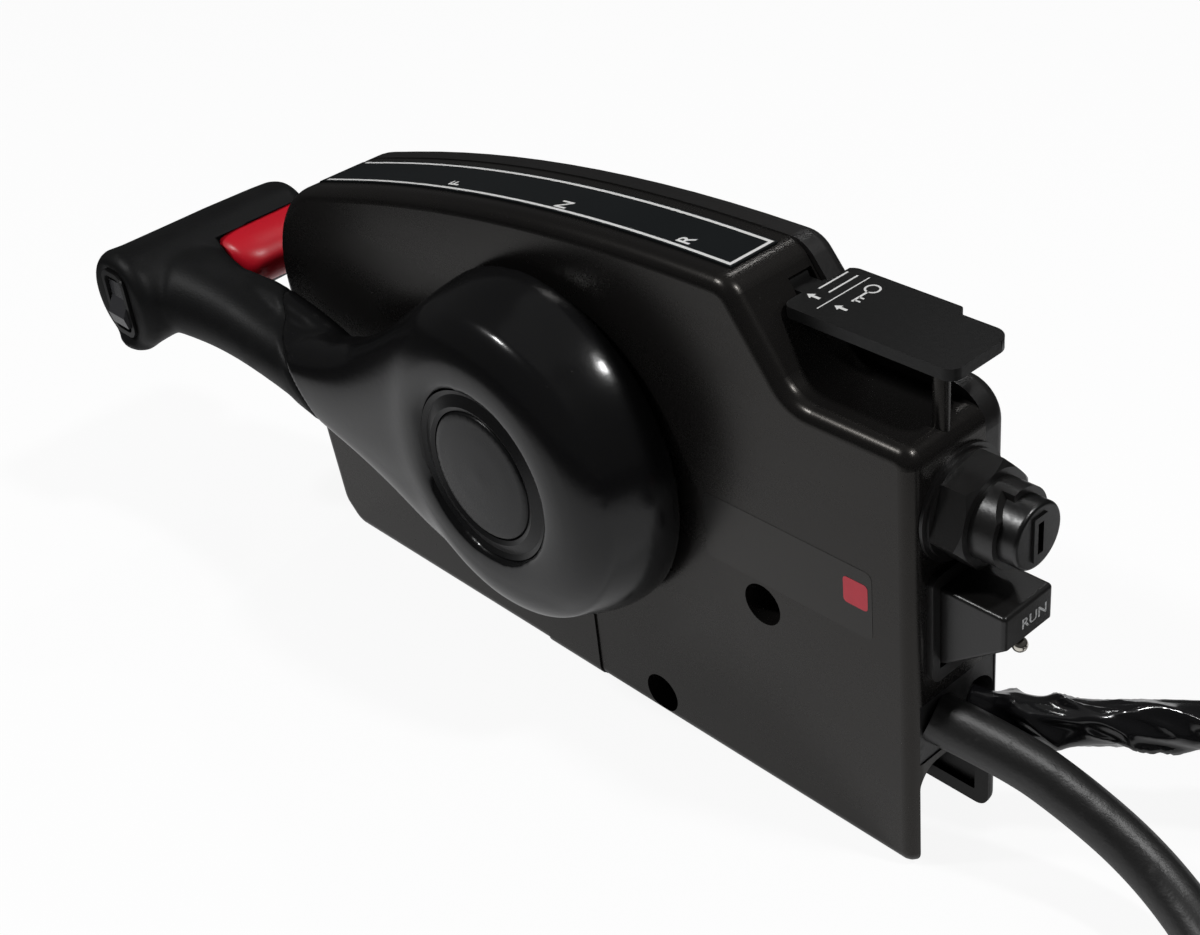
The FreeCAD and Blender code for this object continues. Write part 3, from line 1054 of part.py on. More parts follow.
def fast_idle_lever():
    z0 = IDLE_PLATE_Z
    z1 = IDLE_PLATE_Z + IDLE_PLATE_T
    notch_x = IDLE_END_X - 17.0
    notch = 3.2
    points = [(IDLE_PLATE_X0, IDLE_NEAR_Y, 4.0), (IDLE_END_X, IDLE_NEAR_Y, 3.5),
              (IDLE_END_X, IDLE_FAR_Y - notch, 5.0), (notch_x, IDLE_FAR_Y - notch, 1.0),
              (notch_x, IDLE_FAR_Y, 1.5), (IDLE_PLATE_X0, IDLE_FAR_Y, 3.0)]
    plate = outline_face(points, 0.0).extrude(Vector(0, IDLE_PLATE_T, 0))
    plate.rotate(Vector(0, 0, 0), Vector(1, 0, 0), 90)
    box = plate.BoundBox
    plate.translate(Vector(0, IDLE_NEAR_Y - box.YMin, z0 - box.ZMin))
    front_ramp = prism(inset(CASE_OUTLINE, -FIT_GAP - 0.1), FRONT_Y, PART_Y)
    back_ramp = prism(inset(BACK_OUTLINE, -FIT_GAP - 0.1), PART_Y - FIT_GAP, BACK_Y + 1)
    plate = plate.cut(front_ramp.fuse(back_ramp))
    arm = block(IDLE_PIVOT_X, IDLE_PLATE_X0 + 8, IDLE_ARM_Y0, IDLE_ARM_Y1, z0, z1)
    hub = cyl_y(IDLE_PIVOT_X, IDLE_PIVOT_Z, 4.6, IDLE_ARM_Y0, IDLE_ARM_Y1)
    tail = block(IDLE_PIVOT_X - 3.0, IDLE_PIVOT_X + 2.0, IDLE_ARM_Y0, IDLE_ARM_Y1 - 3.5,
                 IDLE_PIVOT_Z - 15, IDLE_PIVOT_Z)
    body = plate.fuse([arm, hub, tail])
    bore = cyl_y(IDLE_PIVOT_X, IDLE_PIVOT_Z, IDLE_PIN_R + RUN_GAP, IDLE_ARM_Y0 - 1, IDLE_ARM_Y1 + 1)
    return body.cut(bore).removeSplitter()


def fast_idle_pin():
    return cyl_y(IDLE_PIVOT_X, IDLE_PIVOT_Z, IDLE_PIN_R, IDLE_ARM_Y0 - 7.8, IDLE_ARM_Y1 + 0.4)


# Small fittings inside and at the cable window
HORN_X = -96.0
HORN_Z = 100.0
HORN_R = 13.0
ANCHOR_X = 104.0


def warning_horn():
    can = cyl_y(HORN_X, HORN_Z, HORN_R, 1.5, INNER_BACK_Y)
    mouth = cyl_y(HORN_X, HORN_Z, 2.5, 0.5, 3.5)
    groove = cyl_y(HORN_X, HORN_Z, HORN_R - 3.0, 0.5, 2.3).cut(cyl_y(HORN_X, HORN_Z, HORN_R - 5.0, 0.4, 2.4))
    return can.cut(mouth.fuse(groove))


def cable_anchors():
    """two saddles on the cover that clamp the ends of the shift and throttle cables"""
    anchors = []
    for z in (SHIFT_Z - 4.8, THROTTLE_Z - THROTTLE_CABLE_ARM):
        saddle = block(ANCHOR_X - 6, ANCHOR_X + 6, INNER_BACK_Y - 9, INNER_BACK_Y, z - 7, z + 7)
        anchors.append(saddle.cut(cyl_x(INNER_BACK_Y - 9, z, 4.2, ANCHOR_X - 7, ANCHOR_X + 7)))
    return Part.makeCompound(anchors)


def harness_grommet(cables):
    """rubber block in the cable window, moulded round both cables"""
    x0 = KEY_END_X - WALL - 6.0
    body = block(x0, KEY_END_X - 0.4, WINDOW_NEAR_Y, WINDOW_FAR_Y, WINDOW_LOW_Z, WINDOW_HIGH_Z)
    return body.cut(cables)


# Cables: straight runs joined by tangent arcs
def tube(points, radius):
    pts = [Vector(*p) for p in points]
    arcs = []
    for i in range(1, len(pts) - 1):
        a = (pts[i] - pts[i - 1])
        b = (pts[i + 1] - pts[i])
        shorter = min(a.Length, b.Length)
        a.normalize()
        b.normalize()
        turn = a.getAngle(b)
        arc_r = 0.45 * shorter / math.tan(turn / 2)
        reach = 0.45 * shorter
        middle = pts[i] + (b - a).normalize() * (arc_r / math.cos(turn / 2) - arc_r)
        arcs.append((pts[i] - a * reach, middle, pts[i] + b * reach))
    edges = []
    last = pts[0]
    for start, middle, end in arcs:
        edges.append(Part.LineSegment(last, start).toShape())
        edges.append(Part.Arc(start, middle, end).toShape())
        last = end
    edges.append(Part.LineSegment(last, pts[-1]).toShape())
    path = Part.Wire(edges)
    ring = Part.Wire([Part.Circle(pts[0], pts[1] - pts[0], radius).toShape()])
    return path.makePipeShell([ring], True, False)


MAIN_ROUTE = [(134.0, -8.1, 49.8), (154.5, 0.9, 41.4), (170.3, 5.4, 33.0), (189.0, 8.6, 22.4),
              (208.0, 5.2, 14.6), (230.0, -5.5, 9.4), (256.0, -24.5, 7.5)]
TAIL_ROUTE = [(474.0, 84.6, 37.0), (447.0, 91.6, 43.2), (421.0, 92.4, 43.2)]
SLEEVED_ROUTE = [(134.0, 7.6, 46.4), (149.3, 14.2, 42.4), (164.0, 26.5, 40.6), (182.0, 46.0, 37.4),
                 (203.0, 63.0, 36.6), (228.0, 76.5, 36.8), (256.0, 87.0, 37.0), (290.0, 92.4, 40.2),
                 (322.0, 92.6, 40.2)]
HANK_X = 299.1
HANK_Y = 34.3
HANK_STRAIGHT = 150.0
HANK_R = 58.2
HANK_HALF_WIDTH = 1.5 * 2 * CABLE_R + 0.1
HANK_HEIGHT = 2 * 2 * CABLE_R + 0.2


def last_run(route):
    """end point of a route and the direction it ends in"""
    a = Vector(*route[-2])
    b = Vector(*route[-1])
    return b, (b - a).normalize()


def long_round(radius, z0, z1):
    """an upright body with two half-round ends and straight sides along X"""
    near = cyl_z(HANK_X, HANK_Y, radius, z0, z1)
    far = cyl_z(HANK_X + HANK_STRAIGHT, HANK_Y, radius, z0, z1)
    middle = block(HANK_X, HANK_X + HANK_STRAIGHT, HANK_Y - radius, HANK_Y + radius, z0, z1)
    return near.fuse([far, middle]).removeSplitter()


def hank():
    """hank of the main harness: outer shape of its turns, laid flat, with room for the cable's end"""
    body = long_round(HANK_R + HANK_HALF_WIDTH, 0.0, HANK_HEIGHT)
    body = body.cut(long_round(HANK_R - HANK_HALF_WIDTH, -1.0, HANK_HEIGHT + 1))
    edges = [e for e in body.Edges if abs(e.BoundBox.ZLength) < 0.01]
    return body.makeFillet(5.0, edges).cut(tube(MAIN_ROUTE, CABLE_R + FIT_GAP))


def cyl_z(x, y, radius, z0, z1):
    return Part.makeCylinder(radius, z1 - z0, Vector(x, y, z0), Vector(0, 0, 1))


def plug(start, along, radius, length, cable_r, pins):
    """round connector: collar on the cable, ribbed shell and the pins inside its mouth"""
    collar = Part.makeCylinder(cable_r + 1.5, 10.0, start, along)
    shell_at = start + along * 10.0
    shell = Part.makeCylinder(radius, length, shell_at, along)
    bore = Part.makeCylinder(radius - 2.0, 12.0, shell_at + along * (length - 11.0), along)
    body = collar.fuse(shell).cut(bore)
    side = along.cross(Vector(0, 0, 1)).normalize()
    up = side.cross(along)
    contacts = []
    for i in range(pins):
        c, s = polar(radius * 0.55, 360.0 * i / pins)
        at = shell_at + along * (length - 12.0) + side * c + up * s
        contacts.append(Part.makeCylinder(1.0, 9.0, at, along))
    return body.fuse(contacts)


def build_cables():
    main = tube(MAIN_ROUTE, CABLE_R)
    sleeved = tube(SLEEVED_ROUTE, SLEEVED_R)
    add("main_harness", main)
    add("main_harness_coil", hank())
    add("main_harness_tail", tube(TAIL_ROUTE, CABLE_R))
    add("main_harness_plug", plug(*last_run(TAIL_ROUTE), 13.4, 34.0, CABLE_R, 8))
    add("gauge_harness", sleeved)
    add("gauge_harness_plug", plug(*last_run(SLEEVED_ROUTE), 10.4, 24.0, SLEEVED_R, 5))
    add("harness_grommet", harness_grommet(main.fuse(sleeved)))


def build_case():
    outer = outer_front()
    add("front_housing", front_housing(outer))
    add("back_cover", back_cover())
    add("access_cover", access_cover(outer))
    add("gear_scale_plate", scale_plate(outer))
    add("mounting_sleeves", mounting_sleeves())
    add("cover_screws", cover_screws())
    add("shaft_bush_front", bush(FRONT_Y - 1.4, GEAR_Y - 1.2, GEAR_Y - 1.2))
    add("shaft_bush_rear", bush(DETENT_END_Y + 0.6, BACK_Y - 1.4))
    add("lock_gate", lock_gate())
    add("lever_pivot_pins", lever_pivot_pins())
    add("detent_block", detent_block())
    add("neutral_start_switch", neutral_start_switch())
    add("warning_horn", warning_horn())
    add("cable_anchors", cable_anchors())
    add("ignition_switch_body", ignition_switch_body())
    add("ignition_barrel", ignition_barrel())
    add("ignition_washer", ignition_washer())
    add("ignition_nut", ignition_nut())
    add("stop_switch_body", stop_switch_body())
    add("fast_idle_pin", fast_idle_pin())


def build_handle():
    arm = arm_body()
    add("handle_casting", handle_casting(arm))
    add("handle_grip", handle_grip(arm))
    add("grip_bezel", grip_bezel())
    add("hub_ring", hub_ring())
    add("hub_cap", hub_cap())
    add("handle_screw", handle_screw())
    add("control_shaft", control_shaft())
    add("drive_gear", drive_gear())
    add("throttle_cam", throttle_cam())
    add("detent_wheel", detent_wheel())


def build_moving():
    add("lock_trigger", lock_trigger())
    add("lock_rod", lock_rod())
    add("trim_rocker", trim_rocker())
    add("shift_lever", shift_lever())
    add("throttle_lever", throttle_lever())
    add("throttle_roller", throttle_roller())
    add("detent_plunger", detent_plunger())
    add("neutral_switch_plunger", neutral_switch_plunger())
    add("choke_plunger", choke_plunger())
    add("key_cylinder", key_cylinder())
    add("stop_toggle", stop_toggle())
    add("lanyard_stud", lanyard_stud())
    add("fast_idle_lever", fast_idle_lever())


os.makedirs("parts", exist_ok=True)
build_case()
build_handle()
build_moving()
build_cables()
for name, shape in PARTS.items():
    box = shape.BoundBox
    print(f"{name:24s} solids {len(shape.Solids)} valid {shape.isValid()}"
          f" volume {shape.Volume / 1000:9.2f} cm3"
          f" x {box.XMin:7.1f} {box.XMax:7.1f} y {box.YMin:7.1f} {box.YMax:7.1f}"
          f" z {box.ZMin:7.1f} {box.ZMax:7.1f}")
    shape.exportStep(f"parts/{name}.step")
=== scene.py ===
import bmesh
import bpy
import math
import numpy
from mathutils import Matrix, Vector, noise
from mathutils.bvhtree import BVHTree


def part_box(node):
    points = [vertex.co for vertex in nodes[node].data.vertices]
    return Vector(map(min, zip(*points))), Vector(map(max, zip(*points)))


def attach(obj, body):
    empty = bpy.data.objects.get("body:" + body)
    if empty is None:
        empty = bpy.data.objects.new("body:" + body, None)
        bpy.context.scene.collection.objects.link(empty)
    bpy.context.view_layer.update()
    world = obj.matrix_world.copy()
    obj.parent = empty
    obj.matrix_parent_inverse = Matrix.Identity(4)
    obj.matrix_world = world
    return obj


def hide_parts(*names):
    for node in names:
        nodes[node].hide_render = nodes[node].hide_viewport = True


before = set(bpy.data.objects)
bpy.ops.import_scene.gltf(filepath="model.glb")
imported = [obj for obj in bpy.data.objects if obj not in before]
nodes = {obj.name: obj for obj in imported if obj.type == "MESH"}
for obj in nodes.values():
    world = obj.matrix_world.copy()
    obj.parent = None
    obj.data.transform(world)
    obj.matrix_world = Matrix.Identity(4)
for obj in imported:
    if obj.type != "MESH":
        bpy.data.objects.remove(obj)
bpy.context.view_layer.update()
scene = bpy.context.scene

# Camera: a plain lens on a tripod, above the key end and looking down along the front of the box,
# so that the lever hub, the gear scale and the key end are all seen. No shift and no depth of field.
LOOK_AZIMUTH = math.radians(51.0)
LOOK_DOWN = math.radians(33.55)
LOOK_ROLL = math.radians(-6.85)
LOOK_FROM = (0.3777, -0.3100, 0.3937)
PHOTO_WIDTH = 1200
FOCAL_PIXELS = 1870.0
SENSOR_WIDTH = 36.0
level = Vector((math.cos(LOOK_AZIMUTH), math.sin(LOOK_AZIMUTH), 0.0))
ahead = level.cross(Vector((0, 0, -1))) * math.cos(LOOK_DOWN) - Vector((0, 0, math.sin(LOOK_DOWN)))
upright = level.cross(ahead)
right = level * math.cos(LOOK_ROLL) + upright * math.sin(LOOK_ROLL)
top = upright * math.cos(LOOK_ROLL) - level * math.sin(LOOK_ROLL)
lens = bpy.data.cameras.new("camera")
lens.sensor_width = SENSOR_WIDTH
lens.lens = FOCAL_PIXELS / PHOTO_WIDTH * SENSOR_WIDTH
camera = bpy.data.objects.new("camera", lens)
facing = Matrix((right, top, -ahead)).transposed().to_4x4()
camera.matrix_world = Matrix.Translation(LOOK_FROM) @ facing
scene.collection.objects.link(camera)
scene.camera = camera


# Main harness: ten-wire engine loom in one round black rubber jacket, moulded on to its plug.
# It leaves the window in the key end and drops to the floor. Its spare length is a flat hank, wound
# in two layers of three strands, with the end and its plug lying along the top.
class Wire:
    """a socket of a shader: arithmetic on it adds Math nodes, and node() adds any other"""

    def __init__(self, tree, socket=None):
        self.tree = tree
        self.socket = socket

    def node(self, kind, settings=None, sockets=None, out=0):
        """adds a node with its settings, then its sockets' values or links, and gives one output"""
        made = self.tree.nodes.new(kind)
        for name, value in (settings or {}).items():
            setattr(made, name, value)
        for key, value in (sockets or {}).items():
            if isinstance(value, Wire):
                self.tree.links.new(value.socket, made.inputs[key])
            else:
                made.inputs[key].default_value = value
        return Wire(self.tree, made.outputs[out]) if out is not None else None

    def sum_up(self, operation, one, two):
        return self.node("ShaderNodeMath", {"operation": operation}, {0: one, 1: two})

    def __add__(self, other):
        return self.sum_up("ADD", self, other)

    def __radd__(self, other):
        return self.sum_up("ADD", other, self)

    def __sub__(self, other):
        return self.sum_up("SUBTRACT", self, other)

    def __rsub__(self, other):
        return self.sum_up("SUBTRACT", other, self)

    def __mul__(self, other):
        return self.sum_up("MULTIPLY", self, other)

    def __rmul__(self, other):
        return self.sum_up("MULTIPLY", other, self)

    def between(self, low, high):
        """0 below low and 1 above high, with a smooth step from one to the other"""
        return self.node("ShaderNodeMapRange", {"interpolation_type": "SMOOTHSTEP"},
                         {0: self, 1: low, 2: high})


def surface(name, paint, **fixed):
    """a material: paint(wire) gives the sockets that vary, and fixed those that are even all over"""
    made = bpy.data.materials.new(name)
    made.use_nodes = True
    tree = made.node_tree
    shader = tree.nodes["Principled BSDF"]
    for key, value in fixed.items():
        shader.inputs[key.replace("_", " ")].default_value = value
    for key, value in paint(Wire(tree)).items():
        tree.links.new(value.socket, shader.inputs[key])
    return made


def spot(wire, stretch=(1.0, 1.0, 1.0), place="Object"):
    """where a point is, stretched: on the object, or along and around a cable where place is UV"""
    here = wire.node("ShaderNodeTexCoord", out=place)
    return wire.node("ShaderNodeVectorMath", {"operation": "MULTIPLY"}, {0: here, 1: stretch})


def grain(wire, scale, detail=2.0, where=None):
    """cloudy noise from 0 to 1, finer with scale, over the object unless where says otherwise"""
    return wire.node("ShaderNodeTexNoise", None,
                     {"Vector": where or spot(wire), "Scale": scale, "Detail": detail})


def tint(wire, share, dark, light):
    """a colour between two, by share"""
    return wire.node("ShaderNodeMix", {"data_type": "RGBA"},
                     {0: share, 6: (*dark, 1.0), 7: (*light, 1.0)}, out=2)


def relief(wire, height, depth, strength=1.0):
    """small bumps of a depth in metres"""
    return wire.node("ShaderNodeBump", None,
                     {"Height": height, "Distance": depth, "Strength": strength})


def dress(finish, *names):
    """gives CAD nodes their finish"""
    for name in names:
        slots = nodes[name].data.materials
        slots.clear()
        slots.append(finish)


def add_piece(name, data, body, slot, finish, *stands_for):
    """puts a mesh or curve in the scene, on its CAD body"""
    made = bpy.data.objects.new(name, data)
    data.materials.append(finish)
    scene.collection.objects.link(made)
    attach(made, body)
    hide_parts(*stands_for)
    return made


def round_cable(points, radius, name):
    """a round cable whose centre line follows the points as one NURBS curve"""
    data = bpy.data.curves.new(name, "CURVE")
    data.dimensions = "3D"
    line = data.splines.new("NURBS")
    line.points.add(len(points) - 1)
    for knot, place in zip(line.points, points):
        knot.co = (*place, 1.0)
    line.order_u = 3
    line.use_endpoint_u = True
    line.resolution_u = 10
    data.bevel_depth = radius
    data.bevel_resolution = 7
    data.use_fill_caps = True
    return data


def centre_line(points):
    """the places that the curve itself passes through, in order"""
    bare = round_cable(points, 0.0, "centre_line")
    holder = bpy.data.objects.new("centre_line", bare)
    mesh = bpy.data.meshes.new_from_object(holder)
    line = [v.co.copy() for v in mesh.vertices]
    bpy.data.objects.remove(holder)
    bpy.data.curves.remove(bare)
    bpy.data.meshes.remove(mesh)
    return line


def run_length(line):
    return sum((b - a).length for a, b in zip(line, line[1:]))


# The hank: where its left bend turns, the length of its straight runs and how far the ties draw
# them in, the radius of the inmost and outmost strand, and the height of each layer.
HARNESS_R = 0.0073
HANK_X, HANK_Y = 0.2991, 0.0343
HANK_RUN = 0.150
HANK_WAIST = 0.0045
STRAND = 0.0147
HANK_IN = 0.0435
HANK_OUT = HANK_IN + 2 * STRAND
LOWEST = 0.0075
LAYERS = [LOWEST + i * STRAND for i in range(3)]
HANK_LOOPS = 7
RUN_KNOTS = 4
BEND_KNOTS = 8
KNOT_SHIFT = 0.05


def on_hank(quarter, radius, height):
    """a place on the hank's loop: near side, right bend, far side and left bend are a quarter each"""
    part = int(quarter) % 4
    share = quarter - int(quarter)
    waist = HANK_WAIST * math.sin(math.pi * share)
    if part == 0:
        return HANK_X + HANK_RUN * share, HANK_Y - radius + waist, height
    if part == 2:
        return HANK_X + HANK_RUN * (1 - share), HANK_Y + radius - waist, height
    turn = math.pi * (share - 0.5 if part == 1 else share + 0.5)
    middle = HANK_X + (HANK_RUN if part == 1 else 0.0)
    reach = radius / math.cos(math.pi / BEND_KNOTS / 2)
    return middle + reach * math.cos(turn), HANK_Y + reach * math.sin(turn), height


# Quarter, radius and height at which each stretch of the hank ends: two loops inward in the lowest
# layer, the step up, two loops outward, the step up, and the strand that crosses to the plug.
HANK_START = 3.799
stretches = [(HANK_START + 8.0, HANK_IN, LAYERS[0]), (HANK_START + 8.667, HANK_IN, LAYERS[1]),
             (HANK_START + 16.667, HANK_OUT, LAYERS[1]),
             (HANK_START + 17.30, HANK_OUT, LAYERS[2] - 0.0005),
             (HANK_START + 17.87, HANK_OUT - STRAND, LAYERS[2])]
harness_route = [(0.1340, -0.0081, 0.0498), (0.1545, 0.0009, 0.0414), (0.1703, 0.0054, 0.0330),
                 (0.1890, 0.0086, 0.0224), (0.2080, 0.0052, 0.0146), (0.2300, -0.0055, 0.0094),
                 (0.2560, -0.0245, 0.0075)]
knots = [4 * loop + part + i / count for loop in range(HANK_LOOPS)
         for part, count in enumerate((RUN_KNOTS, BEND_KNOTS, RUN_KNOTS, BEND_KNOTS))
         for i in range(count)]
from_q, from_r, from_z = HANK_START, HANK_OUT, LAYERS[0]
for to_q, to_r, to_z in stretches:
    for q in knots:
        if from_q + KNOT_SHIFT < q <= to_q + KNOT_SHIFT:
            share = min(1.0, (q - from_q) / (to_q - from_q))
            reach = from_r + (to_r - from_r) * share
            harness_route.append(on_hank(q, reach, from_z + (to_z - from_z) * share))
    from_q, from_r, from_z = to_q, to_r, to_z
harness_route += [(0.4740, 0.0846, 0.0370), (0.4470, 0.0916, 0.0432), (0.4210, 0.0924, 0.0432)]


def paint_rubber(wire):
    """semi-matt jacket with faint rings where it was bent, and some dust"""
    rings = grain(wire, 1.0, 3.0, spot(wire, (260.0, 5.0, 1.0), "UV"))
    fine = grain(wire, 1500.0)
    cloud = grain(wire, 30.0, 3.0)
    dust = grain(wire, 420.0, 4.0).between(0.60, 0.74)
    return {"Base Color": tint(wire, dust * 0.3 + cloud * 0.3, (0.010, 0.010, 0.010),
                               (0.030, 0.029, 0.028)),
            "Roughness": cloud * 0.16 + dust * 0.15 + 0.36,
            "Normal": relief(wire, rings * 6.0 + fine, 0.00006)}


cable_rubber = surface("cable_rubber", paint_rubber, Specular_IOR_Level=0.62)
harness = add_piece("main_harness_cable",
                    round_cable(harness_route, HARNESS_R, "main_harness_cable"), "housing",
                    "cable_rubber", cable_rubber, "main_harness", "main_harness_coil",
                    "main_harness_tail")

# Cable ties: two flat black nylon straps that hold the hank together on its long sides,
# each pulled through its own square head and cut off short.
TIE_WIDTH = 0.0048
TIE_THICKNESS = 0.0012
TIE_LOW = 0.0013
TIE_CORNER = 0.0062
TIE_STEPS = 40
TIE_HEAD = (0.0076, 0.0084, 0.0042)
TIE_HEAD_OFF = 0.0060
NEAR_TIE_X = 0.340
FAR_TIE_X = 0.366


def finished(mesh, name, turn_outward=True):
    """the data of a bmesh, with its faces turned outward unless they are right already"""
    if turn_outward:
        bmesh.ops.recalc_face_normals(mesh, faces=mesh.faces)
    data = bpy.data.meshes.new(name)
    mesh.to_mesh(data)
    mesh.free()
    return data


def tie(name, x, side):
    """a strap round the strands of one long side of the hank, the near one for side -1"""
    waist = HANK_WAIST * math.sin(math.pi * (x - HANK_X) / HANK_RUN)
    inner = side * (HANK_IN - waist - HARNESS_R) + HANK_Y
    outer = side * (HANK_OUT - waist + HARNESS_R) + HANK_Y
    middle = (inner + outer) / 2
    half = abs(outer - inner) / 2
    low, high = TIE_LOW, LAYERS[1] + HARNESS_R
    across = Vector((TIE_WIDTH / 2, 0, 0))
    mesh = bmesh.new()
    rings = []
    for i in range(TIE_STEPS):
        turn = math.tau * i / TIE_STEPS
        c, s = math.cos(turn), math.sin(turn)
        y = middle + math.copysign(half - TIE_CORNER, c) + TIE_CORNER * c
        z = (low + high) / 2 + math.copysign((high - low) / 2 - TIE_CORNER, s) + TIE_CORNER * s
        out = Vector((0, c, s)) * TIE_THICKNESS
        at = Vector((x, y, z))
        rings.append([mesh.verts.new(p)
                      for p in (at - across, at + across, at + across + out, at - across + out)])
    for i, ring in enumerate(rings):
        after = rings[(i + 1) % len(rings)]
        for k in range(4):
            mesh.faces.new((ring[k], ring[(k + 1) % 4], after[(k + 1) % 4], after[k]))
    width, length, height = TIE_HEAD
    head_y = middle - side * TIE_HEAD_OFF
    head_z = high + TIE_THICKNESS / 2
    head = [mesh.verts.new((x + dx, head_y + dy, head_z + dz)) for dx in (-width / 2, width / 2)
            for dy in (-length / 2, length / 2) for dz in (0.0, height)]
    for sides in ((0, 1, 3, 2), (4, 6, 7, 5), (0, 4, 5, 1), (2, 3, 7, 6), (0, 2, 6, 4), (1, 5, 7, 3)):
        mesh.faces.new([head[i] for i in sides])
    return finished(mesh, name)


def paint_nylon(wire):
    cloud = grain(wire, 60.0, 2.0)
    return {"Base Color": tint(wire, cloud, (0.010, 0.010, 0.010), (0.016, 0.016, 0.016)),
            "Roughness": cloud * 0.1 + 0.38, "Normal": relief(wire, grain(wire, 900.0), 0.00003)}


tie_nylon = surface("tie_nylon", paint_nylon)
near_tie = add_piece("hank_tie_near", tie("hank_tie_near", NEAR_TIE_X, -1), "housing",
                     "cable_rubber", tie_nylon)
far_tie = add_piece("hank_tie_far", tie("hank_tie_far", FAR_TIE_X, 1), "housing",
                    "cable_rubber", tie_nylon)
run_length(centre_line(harness_route))

# Gauge harness: a few loose wires in a thin glossy vinyl sleeve that creases as it bends.
# At the window the bare bundle shows for a moment, before the loose sleeve swells out round it.
SLEEVE_R = 0.0068
BUNDLE_R = 0.0046
BUNDLE_LENGTH = 0.006
OPENING_LENGTH = 0.007
HELD_LENGTH = 0.010
SLEEVE_SAG = 0.0015
SAG_LENGTH = 0.040
SLEEVE_STEP = 0.0010
SLEEVE_SIDES = 56
WIRE_GROOVE = 0.00035
WIRE_TWIST = 0.012
PLEAT_LENGTH = 0.021
PLEAT_LEAN = 0.45
PLEAT_DEPTH = 0.0021
CROSS_DEPTH = 0.0007
PLEAT_START = Vector((3.1, 0.7, 0.0))
CROSS_START = Vector((0.4, 9.7, 2.0))
sleeve_route = [(0.1340, 0.0076, 0.0464), (0.1493, 0.0142, 0.0424), (0.1640, 0.0265, 0.0406),
                (0.1820, 0.0460, 0.0374), (0.2030, 0.0630, 0.0366), (0.2280, 0.0765, 0.0368),
                (0.2560, 0.0870, 0.0370), (0.2900, 0.0924, 0.0402), (0.3220, 0.0926, 0.0402)]


def evenly(line, gap):
    """points a fixed distance apart along a line, its ends among them"""
    total = run_length(line)
    count = max(2, round(total / gap))
    out = [line[0]]
    walked = 0.0
    target = total / count
    for a, b in zip(line, line[1:]):
        piece = (b - a).length
        while target <= walked + piece + 1e-9 and len(out) < count:
            out.append(a.lerp(b, (target - walked) / piece))
            target += total / count
        walked += piece
    return out + [line[-1]]


def crease(along, around):
    """how far the vinyl stands out or folds in at a place along and round the sleeve"""
    lean = PLEAT_LEAN * math.sin(around + 0.6)
    p = Vector((math.cos(around) * 0.8, math.sin(around) * 0.8, along / PLEAT_LENGTH + lean))
    fold = max(0.0, 1.0 - 2.0 * abs(noise.noise(p + PLEAT_START)))
    cross = max(0.0, 1.0 - 2.6 * abs(noise.noise(p * 1.35 + CROSS_START)))
    return PLEAT_DEPTH * (fold ** 2 - 0.30) + CROSS_DEPTH * (cross ** 2 - 0.3)


def sleeve_mesh(line, name):
    """a tube of rings along a line, the bare wires at its start and the creased sleeve after them"""
    total = run_length(line)
    mesh = bmesh.new()
    rings = []
    side = Vector((0, 0, 1)).cross(line[1] - line[0]).normalized()
    walked = 0.0
    for i, place in enumerate(line):
        before = line[max(i - 1, 0)]
        along = (line[min(i + 1, len(line) - 1)] - before).normalized()
        side = (side - along * side.dot(along)).normalized()
        over = along.cross(side)
        walked += (place - before).length
        open_out = min(1.0, max(0.0, (walked - BUNDLE_LENGTH) / OPENING_LENGTH))
        open_out *= open_out * (3 - 2 * open_out)
        held = min(1.0, (total - walked) / HELD_LENGTH)
        ring = []
        for k in range(SLEEVE_SIDES):
            turn = math.tau * k / SLEEVE_SIDES
            wires = WIRE_GROOVE * abs(math.cos(2.5 * turn + walked / WIRE_TWIST))
            swell = SLEEVE_R + crease(walked, turn) * held
            r = (BUNDLE_R - wires) * (1 - open_out) + swell * open_out
            ring.append(mesh.verts.new(place + side * (r * math.cos(turn))
                                       + over * (r * math.sin(turn))))
        rings.append(ring)
    for one, two in zip(rings, rings[1:]):
        for k in range(SLEEVE_SIDES):
            n = (k + 1) % SLEEVE_SIDES
            mesh.faces.new((one[k], one[n], two[n], two[k])).smooth = True
    mesh.faces.new(list(reversed(rings[0])))
    mesh.faces.new(rings[-1])
    return finished(mesh, name)


def paint_vinyl(wire):
    """soft vinyl: cloudy gloss over shallow ripples"""
    cloud = grain(wire, 45.0, 3.0)
    ripple = grain(wire, 160.0, 2.0)
    return {"Base Color": tint(wire, cloud, (0.006, 0.006, 0.007), (0.011, 0.011, 0.012)),
            "Roughness": cloud * 0.14 + 0.12, "Normal": relief(wire, ripple, 0.00020, 0.5)}


sleeve_points = evenly(centre_line(sleeve_route), SLEEVE_STEP)
for i, place in enumerate(sleeve_points):
    place.z -= SLEEVE_SAG * max(0.0, 1.0 - i * SLEEVE_STEP / SAG_LENGTH)
sleeve_vinyl = surface("sleeve_vinyl", paint_vinyl, Coat_Weight=0.4, Coat_Roughness=0.08)
sleeve = add_piece("gauge_harness_sleeve", sleeve_mesh(sleeve_points, "gauge_harness_sleeve"),
                   "housing", "sleeve_vinyl", sleeve_vinyl, "gauge_harness")
run_length(sleeve_points)

# Cable grommet: a soft rubber block moulded round both harnesses and squeezed in the window
# between the two halves of the case, with a bead each side of the wall.
dress(cable_rubber, "harness_grommet")


